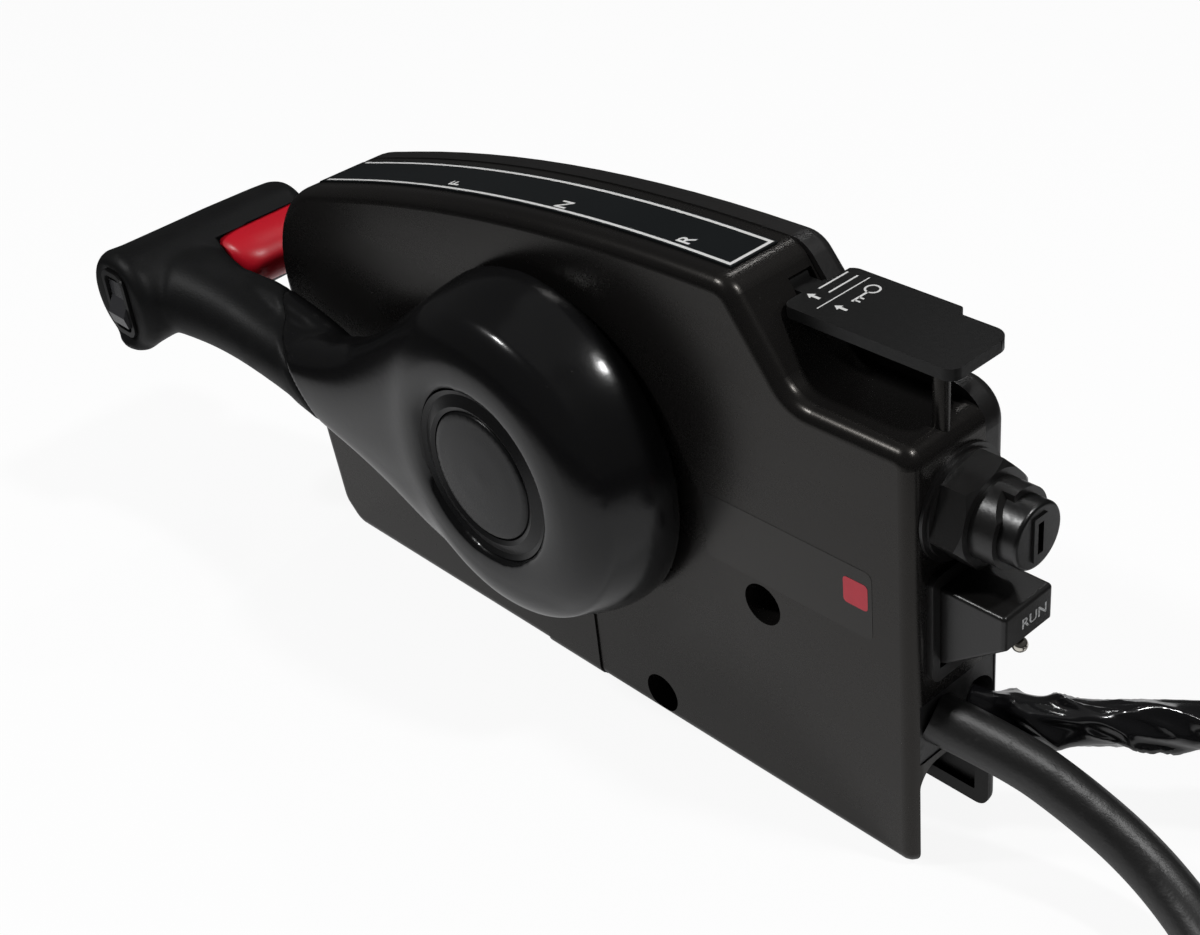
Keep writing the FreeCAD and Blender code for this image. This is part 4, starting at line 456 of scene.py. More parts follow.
# Plugs: ribbed nylon shells with a row of brass pins, moulded over the ends of the two harnesses.
# The ribs are the finger grip, and the shell narrows to a strain relief where the cable goes in.
def moulded(name, dark, light, rough, grain_size, depth, **fixed):
    """moulded plastic: fine grain, cloudy changes of gloss, and a little dust that lifts the black"""
    def paint(wire):
        cloud = grain(wire, 16.0, 3.0)
        fine = grain(wire, grain_size)
        dust = grain(wire, 520.0, 4.0).between(0.62, 0.78)
        return {"Base Color": tint(wire, cloud * 0.6 + dust * 0.4, dark, light),
                "Roughness": (cloud - 0.5) * 0.14 + (fine - 0.5) * 0.08 + dust * 0.08 + rough,
                "Normal": relief(wire, fine, depth, 0.6)}
    return surface(name, paint, **fixed)


plug_nylon = moulded("plug_nylon", (0.011, 0.011, 0.011), (0.022, 0.022, 0.022), 0.44, 1200.0, 0.00006)
dress(plug_nylon, "main_harness_plug", "gauge_harness_plug")

# Front housing: one deep injection moulding in glass-filled nylon, satin black, with a rounded rim.
# The polished mould leaves it smooth and dark, and handling leaves faint wipe marks on the flat front.
WARM_GLOSS = (1.0, 0.95, 0.89, 1.0)


def paint_case(wire):
    cloud = grain(wire, 9.0, 4.0)
    wiped = grain(wire, 1.0, 4.0, spot(wire, (14.0, 14.0, 60.0)))
    fine = grain(wire, 1600.0)
    dust = grain(wire, 700.0, 3.0).between(0.66, 0.80)
    rough = (cloud - 0.5) * 0.10 + (wiped - 0.5) * 0.14 + (fine - 0.5) * 0.06 + dust * 0.10
    return {"Base Color": tint(wire, cloud * 0.5 + dust * 0.5, (0.0075, 0.0070, 0.0068),
                               (0.0160, 0.0150, 0.0145)),
            "Roughness": rough + 0.27,
            "Normal": relief(wire, fine + wiped * 3.0, 0.00003, 0.5)}


case_plastic = surface("case_plastic", paint_case, Specular_IOR_Level=0.36, Specular_Tint=WARM_GLOSS)
dress(case_plastic, "front_housing")

# Access cover: a narrow strip of the same nylon that closes the wiring slot under the hub.
# A hook at its foot and a tongue behind its top snap it into the front housing.
dress(case_plastic, "access_cover")

# Back cover: a shallow moulding with a lip that plugs into the front housing; four screws hold it.
# Its mould was spark-etched, so it is a little duller and more grained than the front.
back_plastic = moulded("back_plastic", (0.0085, 0.0080, 0.0078), (0.016, 0.015, 0.015), 0.40, 1000.0,
                       0.00006)
dress(back_plastic, "back_cover")

# Mounting sleeves: three zinc-plated steel tubes pressed into the bolt bores, so that the
# mounting bolts don't crush the plastic. Only their rims shine at the bottom of the recesses.
DULL_SHARE = 0.72


def metal(name, colour, rough, brushed=(1.0, 1.0, 1.0), size=900.0):
    """bare or plated metal with fine marks, drawn out along one way where it is brushed"""
    def paint(wire):
        fine = grain(wire, size, 3.0, spot(wire, brushed))
        cloud = grain(wire, 55.0, 3.0)
        return {"Base Color": tint(wire, cloud, [c * DULL_SHARE for c in colour], colour),
                "Roughness": (fine - 0.5) * 0.20 + (cloud - 0.5) * 0.12 + rough,
                "Normal": relief(wire, fine, 0.00003, 0.5)}
    return surface(name, paint, Metallic=1.0)


zinc = metal("zinc_steel", (0.56, 0.55, 0.53), 0.34)
dress(zinc, "mounting_sleeves")

# Cover screws: four self-tapping steel screws with cross heads, in black oxide. They are driven
# in from the back and cut their own thread in the bosses of the front housing.
dress(metal("black_oxide", (0.055, 0.055, 0.060), 0.36), "cover_screws")

# Gear scale plate: a polyester film with a satin black face, stuck into the shallow seat along the
# arch. The frame line and the F, N and R marks are screen-printed in white and read from the key end.
PRINT_LIFT = 0.00006
DROP_FROM = 0.03
PRINT_Z = 0.17
DOWN = (0, 0, -1)
AWAY = (-1, 0, 0)
SCALE_X = (-0.1140, 0.0712)
SCALE_Y = (-0.0111, 0.0043)
SCALE_LINE = 0.0011
MARKS = {"F": -0.0480, "N": 0.0030, "R": 0.0520}
MARK_Y = -0.0078
MARK_HEIGHT = 0.0047
CAPITAL_SHARE = 0.70
LETTER_SWELL = 0.018
STROKE_STEP = 0.004


def dropped(name, under, toward, outline_parts, lift=PRINT_LIFT):
    """a thin print: each point of its flat shape is dropped along toward on to the node under it"""
    carrier = nodes[under].data
    tree = BVHTree.FromPolygons([v.co for v in carrier.vertices],
                                [p.vertices for p in carrier.polygons])
    toward = Vector(toward).normalized()
    mesh = bmesh.new()
    for places, faces in outline_parts:
        made = []
        for place in places:
            hit = tree.ray_cast(Vector(place) - toward * DROP_FROM, toward)[0]
            made.append(mesh.verts.new(hit - toward * lift))
        for face in faces:
            mesh.faces.new([made[i] for i in face])
    for face in mesh.faces:
        face.normal_update()
        if face.normal.dot(toward) > 0:
            face.normal_flip()
    return finished(mesh, name, False)


def letters(text, height, origin, across, up):
    """the filled outlines of a word, centred on origin"""
    curve = bpy.data.curves.new("lettering", "FONT")
    curve.body = text
    curve.align_x = "CENTER"
    curve.align_y = "CENTER"
    curve.offset = LETTER_SWELL
    curve.resolution_u = 3
    holder = bpy.data.objects.new("lettering", curve)
    mesh = bpy.data.meshes.new_from_object(holder)
    size = height / CAPITAL_SHARE
    places = [Vector(origin) + Vector(across) * (v.co.x * size) + Vector(up) * (v.co.y * size)
              for v in mesh.vertices]
    faces = [list(p.vertices) for p in mesh.polygons]
    bpy.data.objects.remove(holder)
    bpy.data.curves.remove(curve)
    bpy.data.meshes.remove(mesh)
    return places, faces


def stroke(corners, width):
    """a line of even width through corners, which lie in one level plane, cut to short pieces"""
    corners = [Vector(c) for c in corners]
    normal = Vector((0, 0, 1))
    if len(corners) > 2:
        normal = (corners[1] - corners[0]).cross(corners[2] - corners[1]).normalized()
    places, faces = [], []
    for a, b in zip(corners, corners[1:]):
        along = (b - a).normalized()
        side = along.cross(normal).normalized() * width / 2
        ends = along * width / 2
        count = max(1, math.ceil((b - a).length / STROKE_STEP))
        for i in range(count + 1):
            at = (a - ends).lerp(b + ends, i / count)
            places += [at - side, at + side]
            if i:
                n = len(places)
                faces.append([n - 4, n - 3, n - 1, n - 2])
    return places, faces


def paint_film(wire):
    fine = grain(wire, 2600.0)
    cloud = grain(wire, 20.0, 3.0)
    return {"Base Color": tint(wire, cloud, (0.0070, 0.0085, 0.0095), (0.0110, 0.0130, 0.0140)),
            "Roughness": (cloud - 0.5) * 0.10 + 0.30,
            "Normal": relief(wire, fine, 0.00001, 0.5)}


def paint_print(wire):
    worn = grain(wire, 900.0, 4.0)
    return {"Base Color": tint(wire, worn, (0.80, 0.80, 0.79), (0.92, 0.92, 0.91)),
            "Roughness": worn * 0.15 + 0.35}


dress(surface("scale_film", paint_film, Specular_IOR_Level=0.16), "gear_scale_plate")
white_print = surface("white_print", paint_print)
frame_line = [(x, y, PRINT_Z) for x, y in ((SCALE_X[0], SCALE_Y[0]), (SCALE_X[1], SCALE_Y[0]),
                                           (SCALE_X[1], SCALE_Y[1]), (SCALE_X[0], SCALE_Y[1]))]
scale_shapes = [stroke(frame_line, SCALE_LINE)]
for mark, x in MARKS.items():
    scale_shapes.append(letters(mark, MARK_HEIGHT, (x, MARK_Y, PRINT_Z), (0, 1, 0), AWAY))
add_piece("gear_scale_print", dropped("gear_scale_print", "gear_scale_plate", DOWN, scale_shapes),
          "housing", "scale_film", white_print)

# Front label: a thin film with rounded corners, glued to the flat front. It is printed black, so
# that little more than its gloss shows, with a plain red mark at its end.
INWARD = (0, 1, 0)
FRONT_Y = -0.019
LABEL_BOX = (0.0620, 0.1232, 0.0760, 0.0980)
LABEL_CORNER = 0.0022
LABEL_LIFT = 0.00008
MARK_BOX = (0.1134, 0.1218, 0.0851, 0.0936)
MARK_CORNER = 0.0013
MARK_LIFT = 0.00014


def rounded(box, radius):
    """corner points of a rounded rectangle on the front of the case, with its one face"""
    x0, x1, z0, z1 = box
    places = []
    for cx, cz, start in ((x1 - radius, z1 - radius, 0), (x0 + radius, z1 - radius, 90),
                          (x0 + radius, z0 + radius, 180), (x1 - radius, z0 + radius, 270)):
        for i in range(7):
            turn = math.radians(start + 15 * i)
            places.append((cx + radius * math.cos(turn), FRONT_Y, cz + radius * math.sin(turn)))
    return places, [list(range(len(places)))]


def paint_label(wire):
    cloud = grain(wire, 30.0, 3.0)
    fine = grain(wire, 2200.0)
    return {"Base Color": tint(wire, cloud, (0.0085, 0.0085, 0.0085), (0.013, 0.013, 0.013)),
            "Roughness": (cloud - 0.5) * 0.10 + 0.25,
            "Normal": relief(wire, fine, 0.00001, 0.4)}


def paint_red_mark(wire):
    cloud = grain(wire, 300.0, 3.0)
    return {"Base Color": tint(wire, cloud, (0.66, 0.030, 0.055), (0.78, 0.045, 0.075)),
            "Roughness": cloud * 0.2 + 0.30}


label_film = surface("label_film", paint_label, Specular_IOR_Level=0.42, Specular_Tint=WARM_GLOSS)
for name, box, radius, lift, finish in (
        ("front_label", LABEL_BOX, LABEL_CORNER, LABEL_LIFT, label_film),
        ("front_label_mark", MARK_BOX, MARK_CORNER, MARK_LIFT, surface("red_print", paint_red_mark))):
    add_piece(name, dropped(name, "front_housing", INWARD, [rounded(box, radius)], lift), "housing",
              "scale_film", finish)

# Fast-idle lever: a flat nylon flap with a post under its free corner, hinged on a pin in the arch.
# It is moulded in one piece, and its matt top carries plain white symbols for lifting and pushing.
FLAP_CUT_X = 0.105
FLAP_MIDDLE_Y = 0.00625
SHAFT_SHARE = 0.22
BARB_SHARE = 0.62
HEAD_SHARE = 0.1
RING_STEPS = 28


def cut_off(mesh, at, across, inner):
    """cuts a bmesh along a plane and clears the side behind it, or the side before it if not inner"""
    bmesh.ops.bisect_plane(mesh, geom=mesh.verts[:] + mesh.edges[:] + mesh.faces[:], plane_co=at,
                           plane_no=across, clear_inner=inner, clear_outer=not inner)


def flap_mesh():
    """the flap of the model with its outer part turned over, so that its notch is on the far edge"""
    flap = bmesh.new()
    flap.from_mesh(nodes["fast_idle_lever"].data)
    tip = flap.copy()
    cut_off(flap, (FLAP_CUT_X, 0, 0), (1, 0, 0), False)
    cut_off(tip, (FLAP_CUT_X, 0, 0), (1, 0, 0), True)
    for v in tip.verts:
        v.co.y = 2 * FLAP_MIDDLE_Y - v.co.y
    bmesh.ops.reverse_faces(tip, faces=tip.faces)
    flap.from_mesh(finished(tip, "flap_tip", False))
    bmesh.ops.remove_doubles(flap, verts=flap.verts, dist=0.00001)
    return finished(flap, "fast_idle_flap", False)


def arrow(x, y, size):
    """a plain arrow over the flap: a shaft and a head, pointing along -X"""
    shaft, barb, neck = size * SHAFT_SHARE, size * BARB_SHARE, x - size * HEAD_SHARE
    places = [(x + size, y - shaft), (neck, y - shaft), (neck, y + shaft), (x + size, y + shaft),
              (neck, y - barb), (x - size, y), (neck, y + barb)]
    return [(*place, PRINT_Z) for place in places], [[0, 1, 2, 3], [4, 5, 6]]


def ring(x, y, radius, width):
    """a flat ring over the flap, the bow of the key symbol"""
    places, faces = [], []
    for i in range(RING_STEPS):
        turn = math.tau * i / RING_STEPS
        for r in (radius - width, radius):
            places.append((x + r * math.cos(turn), y + r * math.sin(turn), PRINT_Z))
        j = (i + 1) % RING_STEPS
        faces.append([2 * i, 2 * i + 1, 2 * j + 1, 2 * j])
    return places, faces


def bar(start, end, width):
    """a straight line over the flap"""
    return stroke([(*start, PRINT_Z), (*end, PRINT_Z)], width)


flap_plastic = moulded("flap_plastic", (0.0060, 0.0060, 0.0060), (0.013, 0.013, 0.013), 0.34, 800.0,
                       0.00008, Specular_IOR_Level=0.30)
add_piece("fast_idle_flap", flap_mesh(), "fast_idle_lever", "switch_plastic", flap_plastic,
          "fast_idle_lever")
lift_row = [arrow(0.0884, 0.0010, 0.0022), bar((0.0868, 0.0052), (0.0868, 0.0160), 0.0006),
            bar((0.0902, 0.0052), (0.0902, 0.0160), 0.0006)]
rule = [bar((0.0934, -0.0030), (0.0934, 0.0170), 0.0004)]
key_row = [ring(0.0980, 0.0130, 0.0023, 0.0006), bar((0.0980, 0.0110), (0.0980, 0.0052), 0.0007),
           bar((0.0983, 0.0058), (0.0997, 0.0058), 0.0006),
           bar((0.0983, 0.0076), (0.0994, 0.0076), 0.0006), arrow(0.0980, 0.0006, 0.0021)]
add_piece("fast_idle_symbols",
          dropped("fast_idle_symbols", "fast_idle_lever", DOWN, lift_row + rule + key_row),
          "fast_idle_lever", "scale_film", white_print)

# Fast-idle pin: a plain zinc-plated steel pin through the flap's hinge. Its end is riveted over
# in the wall of the arch, so that it can't work loose.
dress(zinc, "fast_idle_pin")

# Lever hub and arm: one zinc die casting in gloss black enamel, with a soft blend where the arm runs
# into the hub. The rubber grip is moulded over its tang and meets the paint at a slanted seam.
VOXEL = 0.0011
HUB_Z = 0.092
BLEND_AT = 0.0580
BLEND_REACH = 0.0240
BLEND_X, BLEND_OVER_X = -0.006, 0.026
BLEND_Y, BLEND_OVER_Y = -0.0225, 0.004
BLEND_STEPS = 20
RING_SEAT_R = 0.0280
RING_SEAT_Y = (-0.060, -0.0457)
RING_SEAT_STEPS = 128
SEAM_AT = Vector((-0.104, -0.038, 0.082))
SEAM_ACROSS = Vector((1.0, 0.75, 0.75)).normalized()
SEAM_WIDTH = 0.0012
SEAM_DEPTH = 0.0007
FILLER_STEPS = 48
SQUARENESS = 0.8
# web that fills the corner of hub and arm: x of each section, middle y and z, half depth and height
WEB = [(-0.026, -0.0368, 0.0920, 0.0134, 0.0480), (-0.040, -0.0368, 0.0885, 0.0131, 0.0410),
       (-0.056, -0.0367, 0.0868, 0.0127, 0.0310), (-0.072, -0.0366, 0.0850, 0.0125, 0.0228),
       (-0.088, -0.0368, 0.0848, 0.0122, 0.0168), (-0.104, -0.0370, 0.0850, 0.0118, 0.0126)]
# shoulder of the arm under the trigger, in the same measures
SHOULDER = [(-0.176, -0.0320, 0.0900, 0.0055, 0.0085), (-0.164, -0.0315, 0.0910, 0.0062, 0.0115),
            (-0.150, -0.0310, 0.0915, 0.0066, 0.0128), (-0.137, -0.0300, 0.0915, 0.0068, 0.0128),
            (-0.124, -0.0300, 0.0905, 0.0068, 0.0130), (-0.110, -0.0303, 0.0890, 0.0066, 0.0128),
            (-0.096, -0.0308, 0.0875, 0.0062, 0.0118), (-0.084, -0.0312, 0.0865, 0.0056, 0.0100)]
# fuller back of the grip over the trigger: y of each round section, middle x and z, and radius
GRIP_BACK = [(-0.060, -0.1805, 0.0960, 0.0180), (-0.040, -0.1806, 0.0964, 0.0178),
             (-0.020, -0.1809, 0.0971, 0.0173), (0.000, -0.1811, 0.0973, 0.0169),
             (0.008, -0.1811, 0.0973, 0.0166), (0.0115, -0.1811, 0.0973, 0.0152),
             (0.0138, -0.1811, 0.0973, 0.0110)]
# small round ledge under the rocker: its middle, its half sizes and its steps in height
LEDGE_MIDDLE = (-0.1810, -0.0600, 0.0802)
LEDGE_HALF = (0.0095, 0.0062, 0.0038)
LEDGE_STEPS = 9
TRIGGER_POCKET = ((-0.1789, -0.0276, 0.0864), (-0.1400, 0.0096, 0.1099))


def after_modifiers(holder):
    """the mesh of an object as its modifiers leave it; the object itself goes"""
    graph = bpy.context.evaluated_depsgraph_get()
    data = bpy.data.meshes.new_from_object(holder.evaluated_get(graph))
    bpy.data.objects.remove(holder)
    return data


def lofted(mesh, rings):
    """closes a row of vertex rings to a body"""
    for one, two in zip(rings, rings[1:]):
        for k in range(len(one)):
            n = (k + 1) % len(one)
            mesh.faces.new((one[k], one[n], two[n], two[k]))
    mesh.faces.new(list(reversed(rings[0])))
    mesh.faces.new(rings[-1])


def squared(value):
    """a sine or cosine swelled, so that the ring drawn with it is squarer than an ellipse"""
    return math.copysign(abs(value) ** SQUARENESS, value)


def fillers():
    """web, shoulder, back of the grip and ledge as separate closed bodies in one mesh"""
    mesh = bmesh.new()
    turns = [math.tau * k / FILLER_STEPS for k in range(FILLER_STEPS)]
    for sections in (WEB, SHOULDER):
        lofted(mesh, [[mesh.verts.new((x, y + depth * squared(math.cos(a)),
                                       z + height * squared(math.sin(a)))) for a in turns]
                      for x, y, z, depth, height in sections])
    lofted(mesh, [[mesh.verts.new((x + r * math.cos(a), y, z + r * math.sin(a))) for a in turns]
                  for y, x, z, r in GRIP_BACK])
    x, y, z = LEDGE_MIDDLE
    half_x, half_y, half_z = LEDGE_HALF
    rings = []
    for i in range(LEDGE_STEPS):
        rise = math.pi * (i + 0.5) / LEDGE_STEPS - math.pi / 2
        rings.append([mesh.verts.new((x + half_x * math.cos(rise) * math.cos(a),
                                      y + half_y * math.cos(rise) * math.sin(a),
                                      z + half_z * math.sin(rise))) for a in turns])
    lofted(mesh, rings)
    return finished(mesh, "fillers")


def cutters():
    """the seat of the hub ring and the pocket of the trigger"""
    mesh = bmesh.new()
    turns = [math.tau * k / RING_SEAT_STEPS for k in range(RING_SEAT_STEPS)]
    lofted(mesh, [[mesh.verts.new((RING_SEAT_R * math.cos(a), y, HUB_Z + RING_SEAT_R * math.sin(a)))
                   for a in turns] for y in RING_SEAT_Y])
    (x0, y0, z0), (x1, y1, z1) = TRIGGER_POCKET
    lofted(mesh, [[mesh.verts.new((x, y, z)) for x, y in ((x0, y0), (x1, y0), (x1, y1), (x0, y1))]
                  for z in (z0, z1)])
    return finished(mesh, "cutters")


def blended_handle():
    """casting and grip as one skin, with the corner between hub and arm smoothed to a blend"""
    mesh = bmesh.new()
    for data in (nodes["handle_casting"].data, nodes["handle_grip"].data, fillers()):
        mesh.from_mesh(data)
    holder = bpy.data.objects.new("handle_skin", finished(mesh, "handle_skin", False))
    scene.collection.objects.link(holder)
    remesh = holder.modifiers.new("skin", "REMESH")
    remesh.mode = "VOXEL"
    remesh.voxel_size = VOXEL
    even = holder.modifiers.new("even", "SMOOTH")
    even.factor = 0.5
    even.iterations = 8
    skin = after_modifiers(holder)
    holder = bpy.data.objects.new("handle_skin", skin)
    scene.collection.objects.link(holder)
    places = numpy.empty(len(skin.vertices) * 3, numpy.float32)
    skin.vertices.foreach_get("co", places)
    places = places.reshape(-1, 3)
    reach = numpy.hypot(places[:, 0], places[:, 2] - HUB_Z)
    weight = numpy.exp(-((reach - BLEND_AT) / BLEND_REACH) ** 2)
    weight *= numpy.clip((BLEND_X - places[:, 0]) / BLEND_OVER_X, 0, 1)
    weight *= numpy.clip((BLEND_Y - places[:, 1]) / BLEND_OVER_Y, 0, 1)
    group = holder.vertex_groups.new(name="blend")
    for step in range(1, BLEND_STEPS + 1):
        chosen = numpy.nonzero(numpy.ceil(weight * BLEND_STEPS) == step)[0]
        group.add(chosen.tolist(), step / BLEND_STEPS, "REPLACE")
    soft = holder.modifiers.new("blend", "SMOOTH")
    soft.factor = 0.6
    soft.iterations = 200
    soft.vertex_group = "blend"
    tool = bpy.data.objects.new("cutters", cutters())
    scene.collection.objects.link(tool)
    cut = holder.modifiers.new("cut", "BOOLEAN")
    cut.operation = "DIFFERENCE"
    cut.object = tool
    done = after_modifiers(holder)
    bpy.data.objects.remove(tool)
    return done


def half_of(skin, name, inner):
    """the part of the skin on one side of the seam, drawn in a little at the seam itself"""
    mesh = bmesh.new()
    mesh.from_mesh(skin)
    cut_off(mesh, SEAM_AT, SEAM_ACROSS, inner)
    for v in mesh.verts:
        v.normal_update()
    for v in mesh.verts:
        gap = abs((v.co - SEAM_AT).dot(SEAM_ACROSS))
        if gap < SEAM_WIDTH:
            v.co -= v.normal * SEAM_DEPTH * (1 - gap / SEAM_WIDTH)
    rim = [e for e in mesh.edges if e.is_boundary]
    bmesh.ops.holes_fill(mesh, edges=rim, sides=0)
    for face in mesh.faces:
        face.smooth = True
    return finished(mesh, name, False)


def paint_enamel(wire):
    """gloss enamel with a faint orange peel and some dust"""
    orange_peel = grain(wire, 420.0, 2.0)
    cloud = grain(wire, 14.0, 3.0)
    dust = grain(wire, 900.0, 3.0).between(0.68, 0.80)
    return {"Base Color": tint(wire, dust * 0.6 + cloud * 0.3, (0.0060, 0.0060, 0.0064),
                               (0.0140, 0.0140, 0.0140)),
            "Roughness": (cloud - 0.5) * 0.10 + dust * 0.12 + 0.19,
            "Normal": relief(wire, orange_peel, 0.00004, 0.5)}


handle_paint = surface("handle_paint", paint_enamel, Specular_IOR_Level=0.36)
skin = blended_handle()
add_piece("handle_casting_skin", half_of(skin, "handle_casting_skin", True), "handle", "handle_paint",
          handle_paint, "handle_casting")


# Rubber grip: soft black thermoplastic rubber moulded over the tang, with a cross bar to hold.
# It is matt from its etched mould and rubbed smoother where fingers lie.
def paint_grip(wire):
    fine = grain(wire, 1300.0)
    cloud = grain(wire, 22.0, 3.0)
    rubbed = grain(wire, 90.0, 4.0).between(0.45, 0.75)
    return {"Base Color": tint(wire, cloud * 0.6 + rubbed * 0.3, (0.0070, 0.0072, 0.0074),
                               (0.0140, 0.0140, 0.0145)),
            "Roughness": (cloud - 0.5) * 0.12 + rubbed * 0.08 + 0.46,
            "Normal": relief(wire, fine, 0.00010, 0.6)}


grip_rubber = surface("grip_rubber", paint_grip, Specular_IOR_Level=0.14)
add_piece("handle_grip_skin", half_of(skin, "handle_grip_skin", False), "handle", "grip_rubber",
          grip_rubber, "handle_grip")

# Hub ring and cap: two nylon trims that snap into the hub face and hide the lever screw.
# The ring is rounded and the cap is nearly flat, with a thin dark gap between them. The rocker's
# bezel in the grip is moulded in the same nylon.
trim_plastic = moulded("trim_plastic", (0.0085, 0.0085, 0.0090), (0.014, 0.014, 0.014), 0.30, 1500.0,
                       0.00003, Specular_IOR_Level=0.24)
dress(trim_plastic, "hub_ring", "hub_cap", "grip_bezel")
nodes["hub_cap"].modifiers.new("joined_middle", "WELD").merge_threshold = 0.0003
nodes["hub_cap"].modifiers.new("even_normals", "WEIGHTED_NORMAL").weight = 100

# Neutral lock trigger: a red nylon slide in the grip, squeezed with the fingers to free the lever.
# It is round-nosed along its length and at its near end, and a foot inside the grip moves the rod.
TRIGGER_BACK_X = -0.1719
TRIGGER_MID_Z = 0.0990
TRIGGER_NOSE = 0.0180
TRIGGER_HALF = 0.0104
TRIGGER_Y = (-0.0266, 0.0088)
TRIGGER_FOOT_Y = -0.02706
TRIGGER_STEPS = 32
NOSE_STEPS = 24
NOSE_POWER = 0.85
NEAR_TAPER, FAR_TAPER = 0.30, 0.10
NEAR_LEAST, FAR_LEAST = 0.42, 0.2
TIP_BACK, TIP_RISE = 0.0040, 0.0060


def trigger_mesh():
    """the foot of the model's trigger, with a round-nosed body of its own in the pocket"""
    foot = bmesh.new()
    foot.from_mesh(nodes["lock_trigger"].data)
    cut_off(foot, (0, TRIGGER_FOOT_Y, 0), (0, 1, 0), False)
    mesh = bmesh.new()
    mesh.from_mesh(finished(foot, "lock_trigger_foot", False))
    y0, y1 = TRIGGER_Y
    rings = []
    for i in range(TRIGGER_STEPS + 1):
        share = i / TRIGGER_STEPS
        near = min(1.0, share / NEAR_TAPER)
        far = min(1.0, (1 - share) / FAR_TAPER)
        full = ((NEAR_LEAST + (1 - NEAR_LEAST) * math.sqrt(1 - (1 - near) ** 2))
                * max(FAR_LEAST, math.sqrt(1 - (1 - far) ** 2)))
        y = y0 + (y1 - y0) * share
        back = TRIGGER_BACK_X + TIP_BACK * (1 - full)
        middle = TRIGGER_MID_Z + TIP_RISE * (1 - full)
        places = [(back, y, middle - TRIGGER_HALF * full)]
        for k in range(NOSE_STEPS + 1):
            turn = math.pi * (k / NOSE_STEPS - 0.5)
            places.append((back + 0.0005 + TRIGGER_NOSE * full * math.cos(turn) ** NOSE_POWER, y,
                           middle + TRIGGER_HALF * full * math.sin(turn)))
        places.append((back, y, middle + TRIGGER_HALF * full))
        rings.append([mesh.verts.new(place) for place in places])
    lofted(mesh, rings)
    for face in mesh.faces:
        face.smooth = len(face.verts) == 4
    return finished(mesh, "lock_trigger_skin")


trigger_red = moulded("trigger_red", (0.62, 0.007, 0.020), (0.74, 0.011, 0.030), 0.36, 1100.0, 0.00004)
trigger = add_piece("lock_trigger_skin", trigger_mesh(), "neutral_lock", "trigger_red", trigger_red,
                    "lock_trigger")
# kept out of reflections, so that the gloss of the hub shows no red
trigger.visible_glossy = False

# Neutral lock rod: a zinc-plated steel rod inside the lever, cold-formed from wire. It is flattened
# to a foot at the trigger's end and to the lock pin at the other.
dress(zinc, "lock_rod")

# Trim rocker: a hard two-way rocker moulded in dark grey nylon, in a bezel in the end of the grip.
# It snaps on a pin across its middle, and is a little shorter than its window so that it can tip.
ROCKER_EASE = 0.965


def rocker_mesh():
    """the rocker of the model, made shorter about its middle"""
    data = nodes["trim_rocker"].data.copy()
    heights = [v.co.z for v in data.vertices]
    middle = (min(heights) + max(heights)) / 2
    for v in data.vertices:
        v.co.z = middle + (v.co.z - middle) * ROCKER_EASE
    return data


rocker_plastic = moulded("rocker_plastic", (0.030, 0.030, 0.033), (0.050, 0.050, 0.054), 0.22, 1200.0,
                         0.00002, Coat_Weight=0.3)
add_piece("trim_rocker_eased", rocker_mesh(), "trim_rocker", "rocker_plastic", rocker_plastic,
          "trim_rocker")

# Ignition switch: a nylon body behind the case wall, clamped by a washer and a hexagon nut.
# All of it is moulded in black nylon, and the barrel in front of the nut guides the key cylinder.
switch_plastic = moulded("switch_plastic", (0.0095, 0.0093, 0.0090), (0.018, 0.017, 0.017), 0.34,
                         1200.0, 0.00006)
dress(switch_plastic, "ignition_switch_body", "ignition_barrel", "ignition_washer", "ignition_nut")

# Key cylinder and choke plunger: a dark plated zinc cylinder with a key slot, and the steel
# plunger that it pushes in for choke.
dress(metal("dark_plated", (0.085, 0.085, 0.085), 0.36, size=1100.0), "key_cylinder")
dress(zinc, "choke_plunger")

# Stop switch: a moulded nylon drum housing with a square toggle that tips on a pin through it.
# The toggle's end face is pad-printed RUN in white, which has worn thin.
RUN_HEIGHT = 0.0031
RUN_Y, RUN_Z = 0.0021, 0.0900
RUN_STRETCH = 1.15


def paint_worn(wire):
    worn = grain(wire, 1400.0, 4.0).between(0.35, 0.62)
    return {"Base Color": tint(wire, worn, (0.30, 0.31, 0.31), (0.70, 0.71, 0.71)),
            "Roughness": worn * 0.2 + 0.40}


dress(switch_plastic, "stop_switch_body", "stop_toggle")
toggle_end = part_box("stop_toggle")[1].x
run_word = letters("RUN", RUN_HEIGHT, (toggle_end, RUN_Y, RUN_Z), (0, RUN_STRETCH, 0), (0, 0, 1))
add_piece("stop_toggle_print", dropped("stop_toggle_print", "stop_toggle", AWAY, [run_word]),
          "stop_toggle", "scale_film", surface("worn_print", paint_worn))

# Lanyard stud: a turned and polished steel stud with a ball end, screwed into the toggle.
# The clip of the safety lanyard grips it behind the ball.
dress(metal("bright_steel", (0.80, 0.76, 0.68), 0.14), "lanyard_stud")

# Control shaft and its fixings: the ground steel shaft, the lever screw, the pivot pins and the
# detent plunger are turned from bar, and the throttle lever is stamped from steel sheet.
ground_steel = metal("ground_steel", (0.58, 0.58, 0.59), 0.26, (1.0, 30.0, 1.0), 300.0)
dress(ground_steel, "control_shaft", "handle_screw", "lever_pivot_pins", "detent_plunger")
dress(metal("stamped_steel", (0.50, 0.50, 0.49), 0.40), "throttle_lever")

# Gear train: drive gear, shift lever with its toothed sector, groove cam, roller, detent wheel, lock
# gate and switch plunger, all moulded in off-white acetal, which needs no oil on steel.
acetal = moulded("acetal", (0.46, 0.45, 0.42), (0.58, 0.57, 0.53), 0.36, 1100.0, 0.00004)
dress(acetal, "drive_gear", "shift_lever", "throttle_cam", "detent_wheel", "throttle_roller",
      "lock_gate", "neutral_switch_plunger")

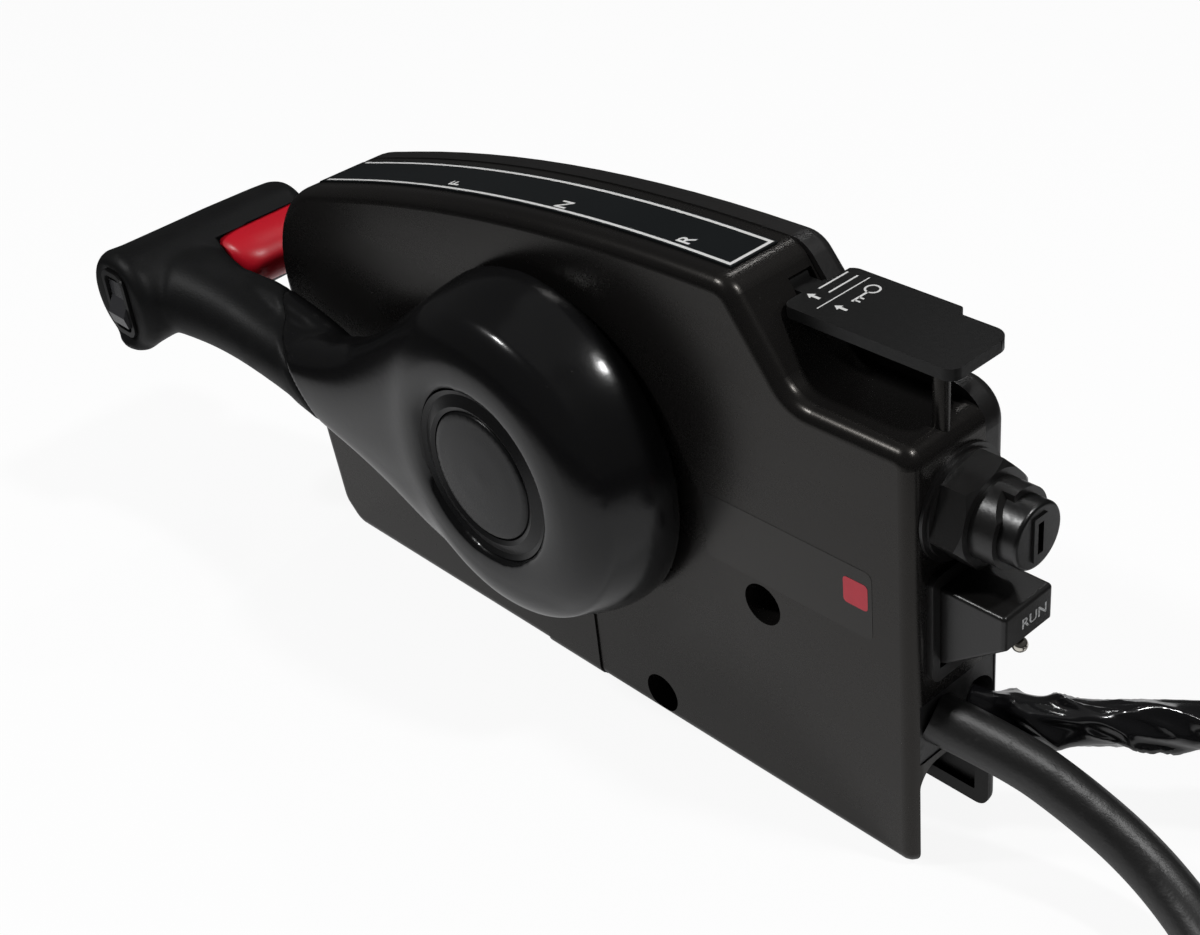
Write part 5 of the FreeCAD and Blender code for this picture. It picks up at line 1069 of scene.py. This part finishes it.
# Bushes and blocks: the two bearings of the shaft, pressed in the case, the detent block and the
# two cable anchors. All of them are moulded in grey nylon.
grey_nylon = moulded("grey_nylon", (0.10, 0.10, 0.105), (0.15, 0.15, 0.155), 0.44, 900.0, 0.00006)
dress(grey_nylon, "shaft_bush_front", "shaft_bush_rear", "detent_block", "cable_anchors")

# Neutral start switch and warning horn: bought-in parts in cases of black phenolic resin,
# pressed under heat and held in the housing by adhesive.
phenolic = moulded("phenolic", (0.020, 0.017, 0.015), (0.034, 0.029, 0.026), 0.42, 1000.0, 0.00006)
dress(phenolic, "neutral_start_switch", "warning_horn")

# Floor: a white table top without an edge in view, which keeps the soft shadows of the box.
# It shows as white to the eye. In mirrored gloss it glows near the box and turns dark farther out, a
# painted reflection.
TABLE_HALF = 6.0
MIRRORED_TO, MIRRORED_END = 0.22, 0.50
SEEN_GLOW, MIRRORED_GLOW = 0.88, 0.28
GLOW_STRENGTH = 1.04


def paint_table():
    made = bpy.data.materials.new("white_table")
    made.use_nodes = True
    tree = made.node_tree
    tree.nodes.clear()
    wire = Wire(tree)
    seen = wire.node("ShaderNodeLightPath", out="Is Camera Ray")
    mirrored = wire.node("ShaderNodeLightPath", out="Is Glossy Ray")
    distance = wire.node("ShaderNodeVectorMath", {"operation": "LENGTH"}, {0: spot(wire)}, "Value")
    away = distance.between(MIRRORED_TO, MIRRORED_END)
    # painted reflection: in mirrored gloss the table's colour turns dark away from the box
    colour = tint(wire, mirrored * away, (0.86, 0.86, 0.87), (0.03, 0.03, 0.03))
    white = wire.node("ShaderNodeBsdfDiffuse", None, {"Color": colour})
    glow = wire.node("ShaderNodeEmission", None,
                     {"Color": (1.0, 1.0, 1.0, 1.0), "Strength": GLOW_STRENGTH})
    # painted reflection: in mirrored gloss the table glows near the box, though it is no lamp
    share = seen * SEEN_GLOW + mirrored * (1.0 - away) * MIRRORED_GLOW
    both = wire.node("ShaderNodeMixShader", None, {0: share, 1: white, 2: glow})
    wire.node("ShaderNodeOutputMaterial", None, {"Surface": both}, out=None)
    return made


table_mesh = bpy.data.meshes.new("table_top")
table_corners = [(x * TABLE_HALF, y * TABLE_HALF, 0) for x, y in ((-1, -1), (1, -1), (1, 1), (-1, 1))]
table_mesh.from_pydata(table_corners, [], [(0, 1, 2, 3)])
table_top = bpy.data.objects.new("table_top", table_mesh)
table_mesh.materials.append(paint_table())
scene.collection.objects.link(table_top)

# Light: a dim room with a few small bright lamps, which give the round highlights on the black pieces,
# and a wide faint ceiling. The white of the table is what the flat front mirrors.
ROOM_LIGHT = 0.055
LAMP_AIM = Vector((0.0, 0.0, 0.1))
world = bpy.data.worlds.new("studio")
scene.world = world
world.use_nodes = True
background = world.node_tree.nodes["Background"]
background.inputs["Color"].default_value = (1.0, 1.0, 1.0, 1.0)
seen_sky = Wire(world.node_tree).node("ShaderNodeLightPath", out="Is Camera Ray")
sky_strength = seen_sky * (1.0 - ROOM_LIGHT) + ROOM_LIGHT
world.node_tree.links.new(sky_strength.socket, background.inputs["Strength"])


def lamp(name, place, size, power):
    """a round lamp that shines at the box"""
    data = bpy.data.lights.new(name, "AREA")
    data.shape = "DISK"
    data.size = size
    data.energy = power
    holder = bpy.data.objects.new(name, data)
    holder.location = place
    holder.rotation_mode = "QUATERNION"
    holder.rotation_quaternion = (LAMP_AIM - Vector(place)).to_track_quat("-Z", "Y")
    scene.collection.objects.link(holder)


lamp("ceiling", (0.0, 0.4, 1.7), 2.0, 1.4)
lamp("left_lamp", (-0.7, -0.9, 1.5), 0.16, 11.0)
lamp("right_lamp", (0.9, 0.3, 1.5), 0.16, 11.0)
lamp("back_lamp", (-0.5, 1.1, 1.6), 0.12, 2.0)

scene.view_settings.view_transform = "Standard"
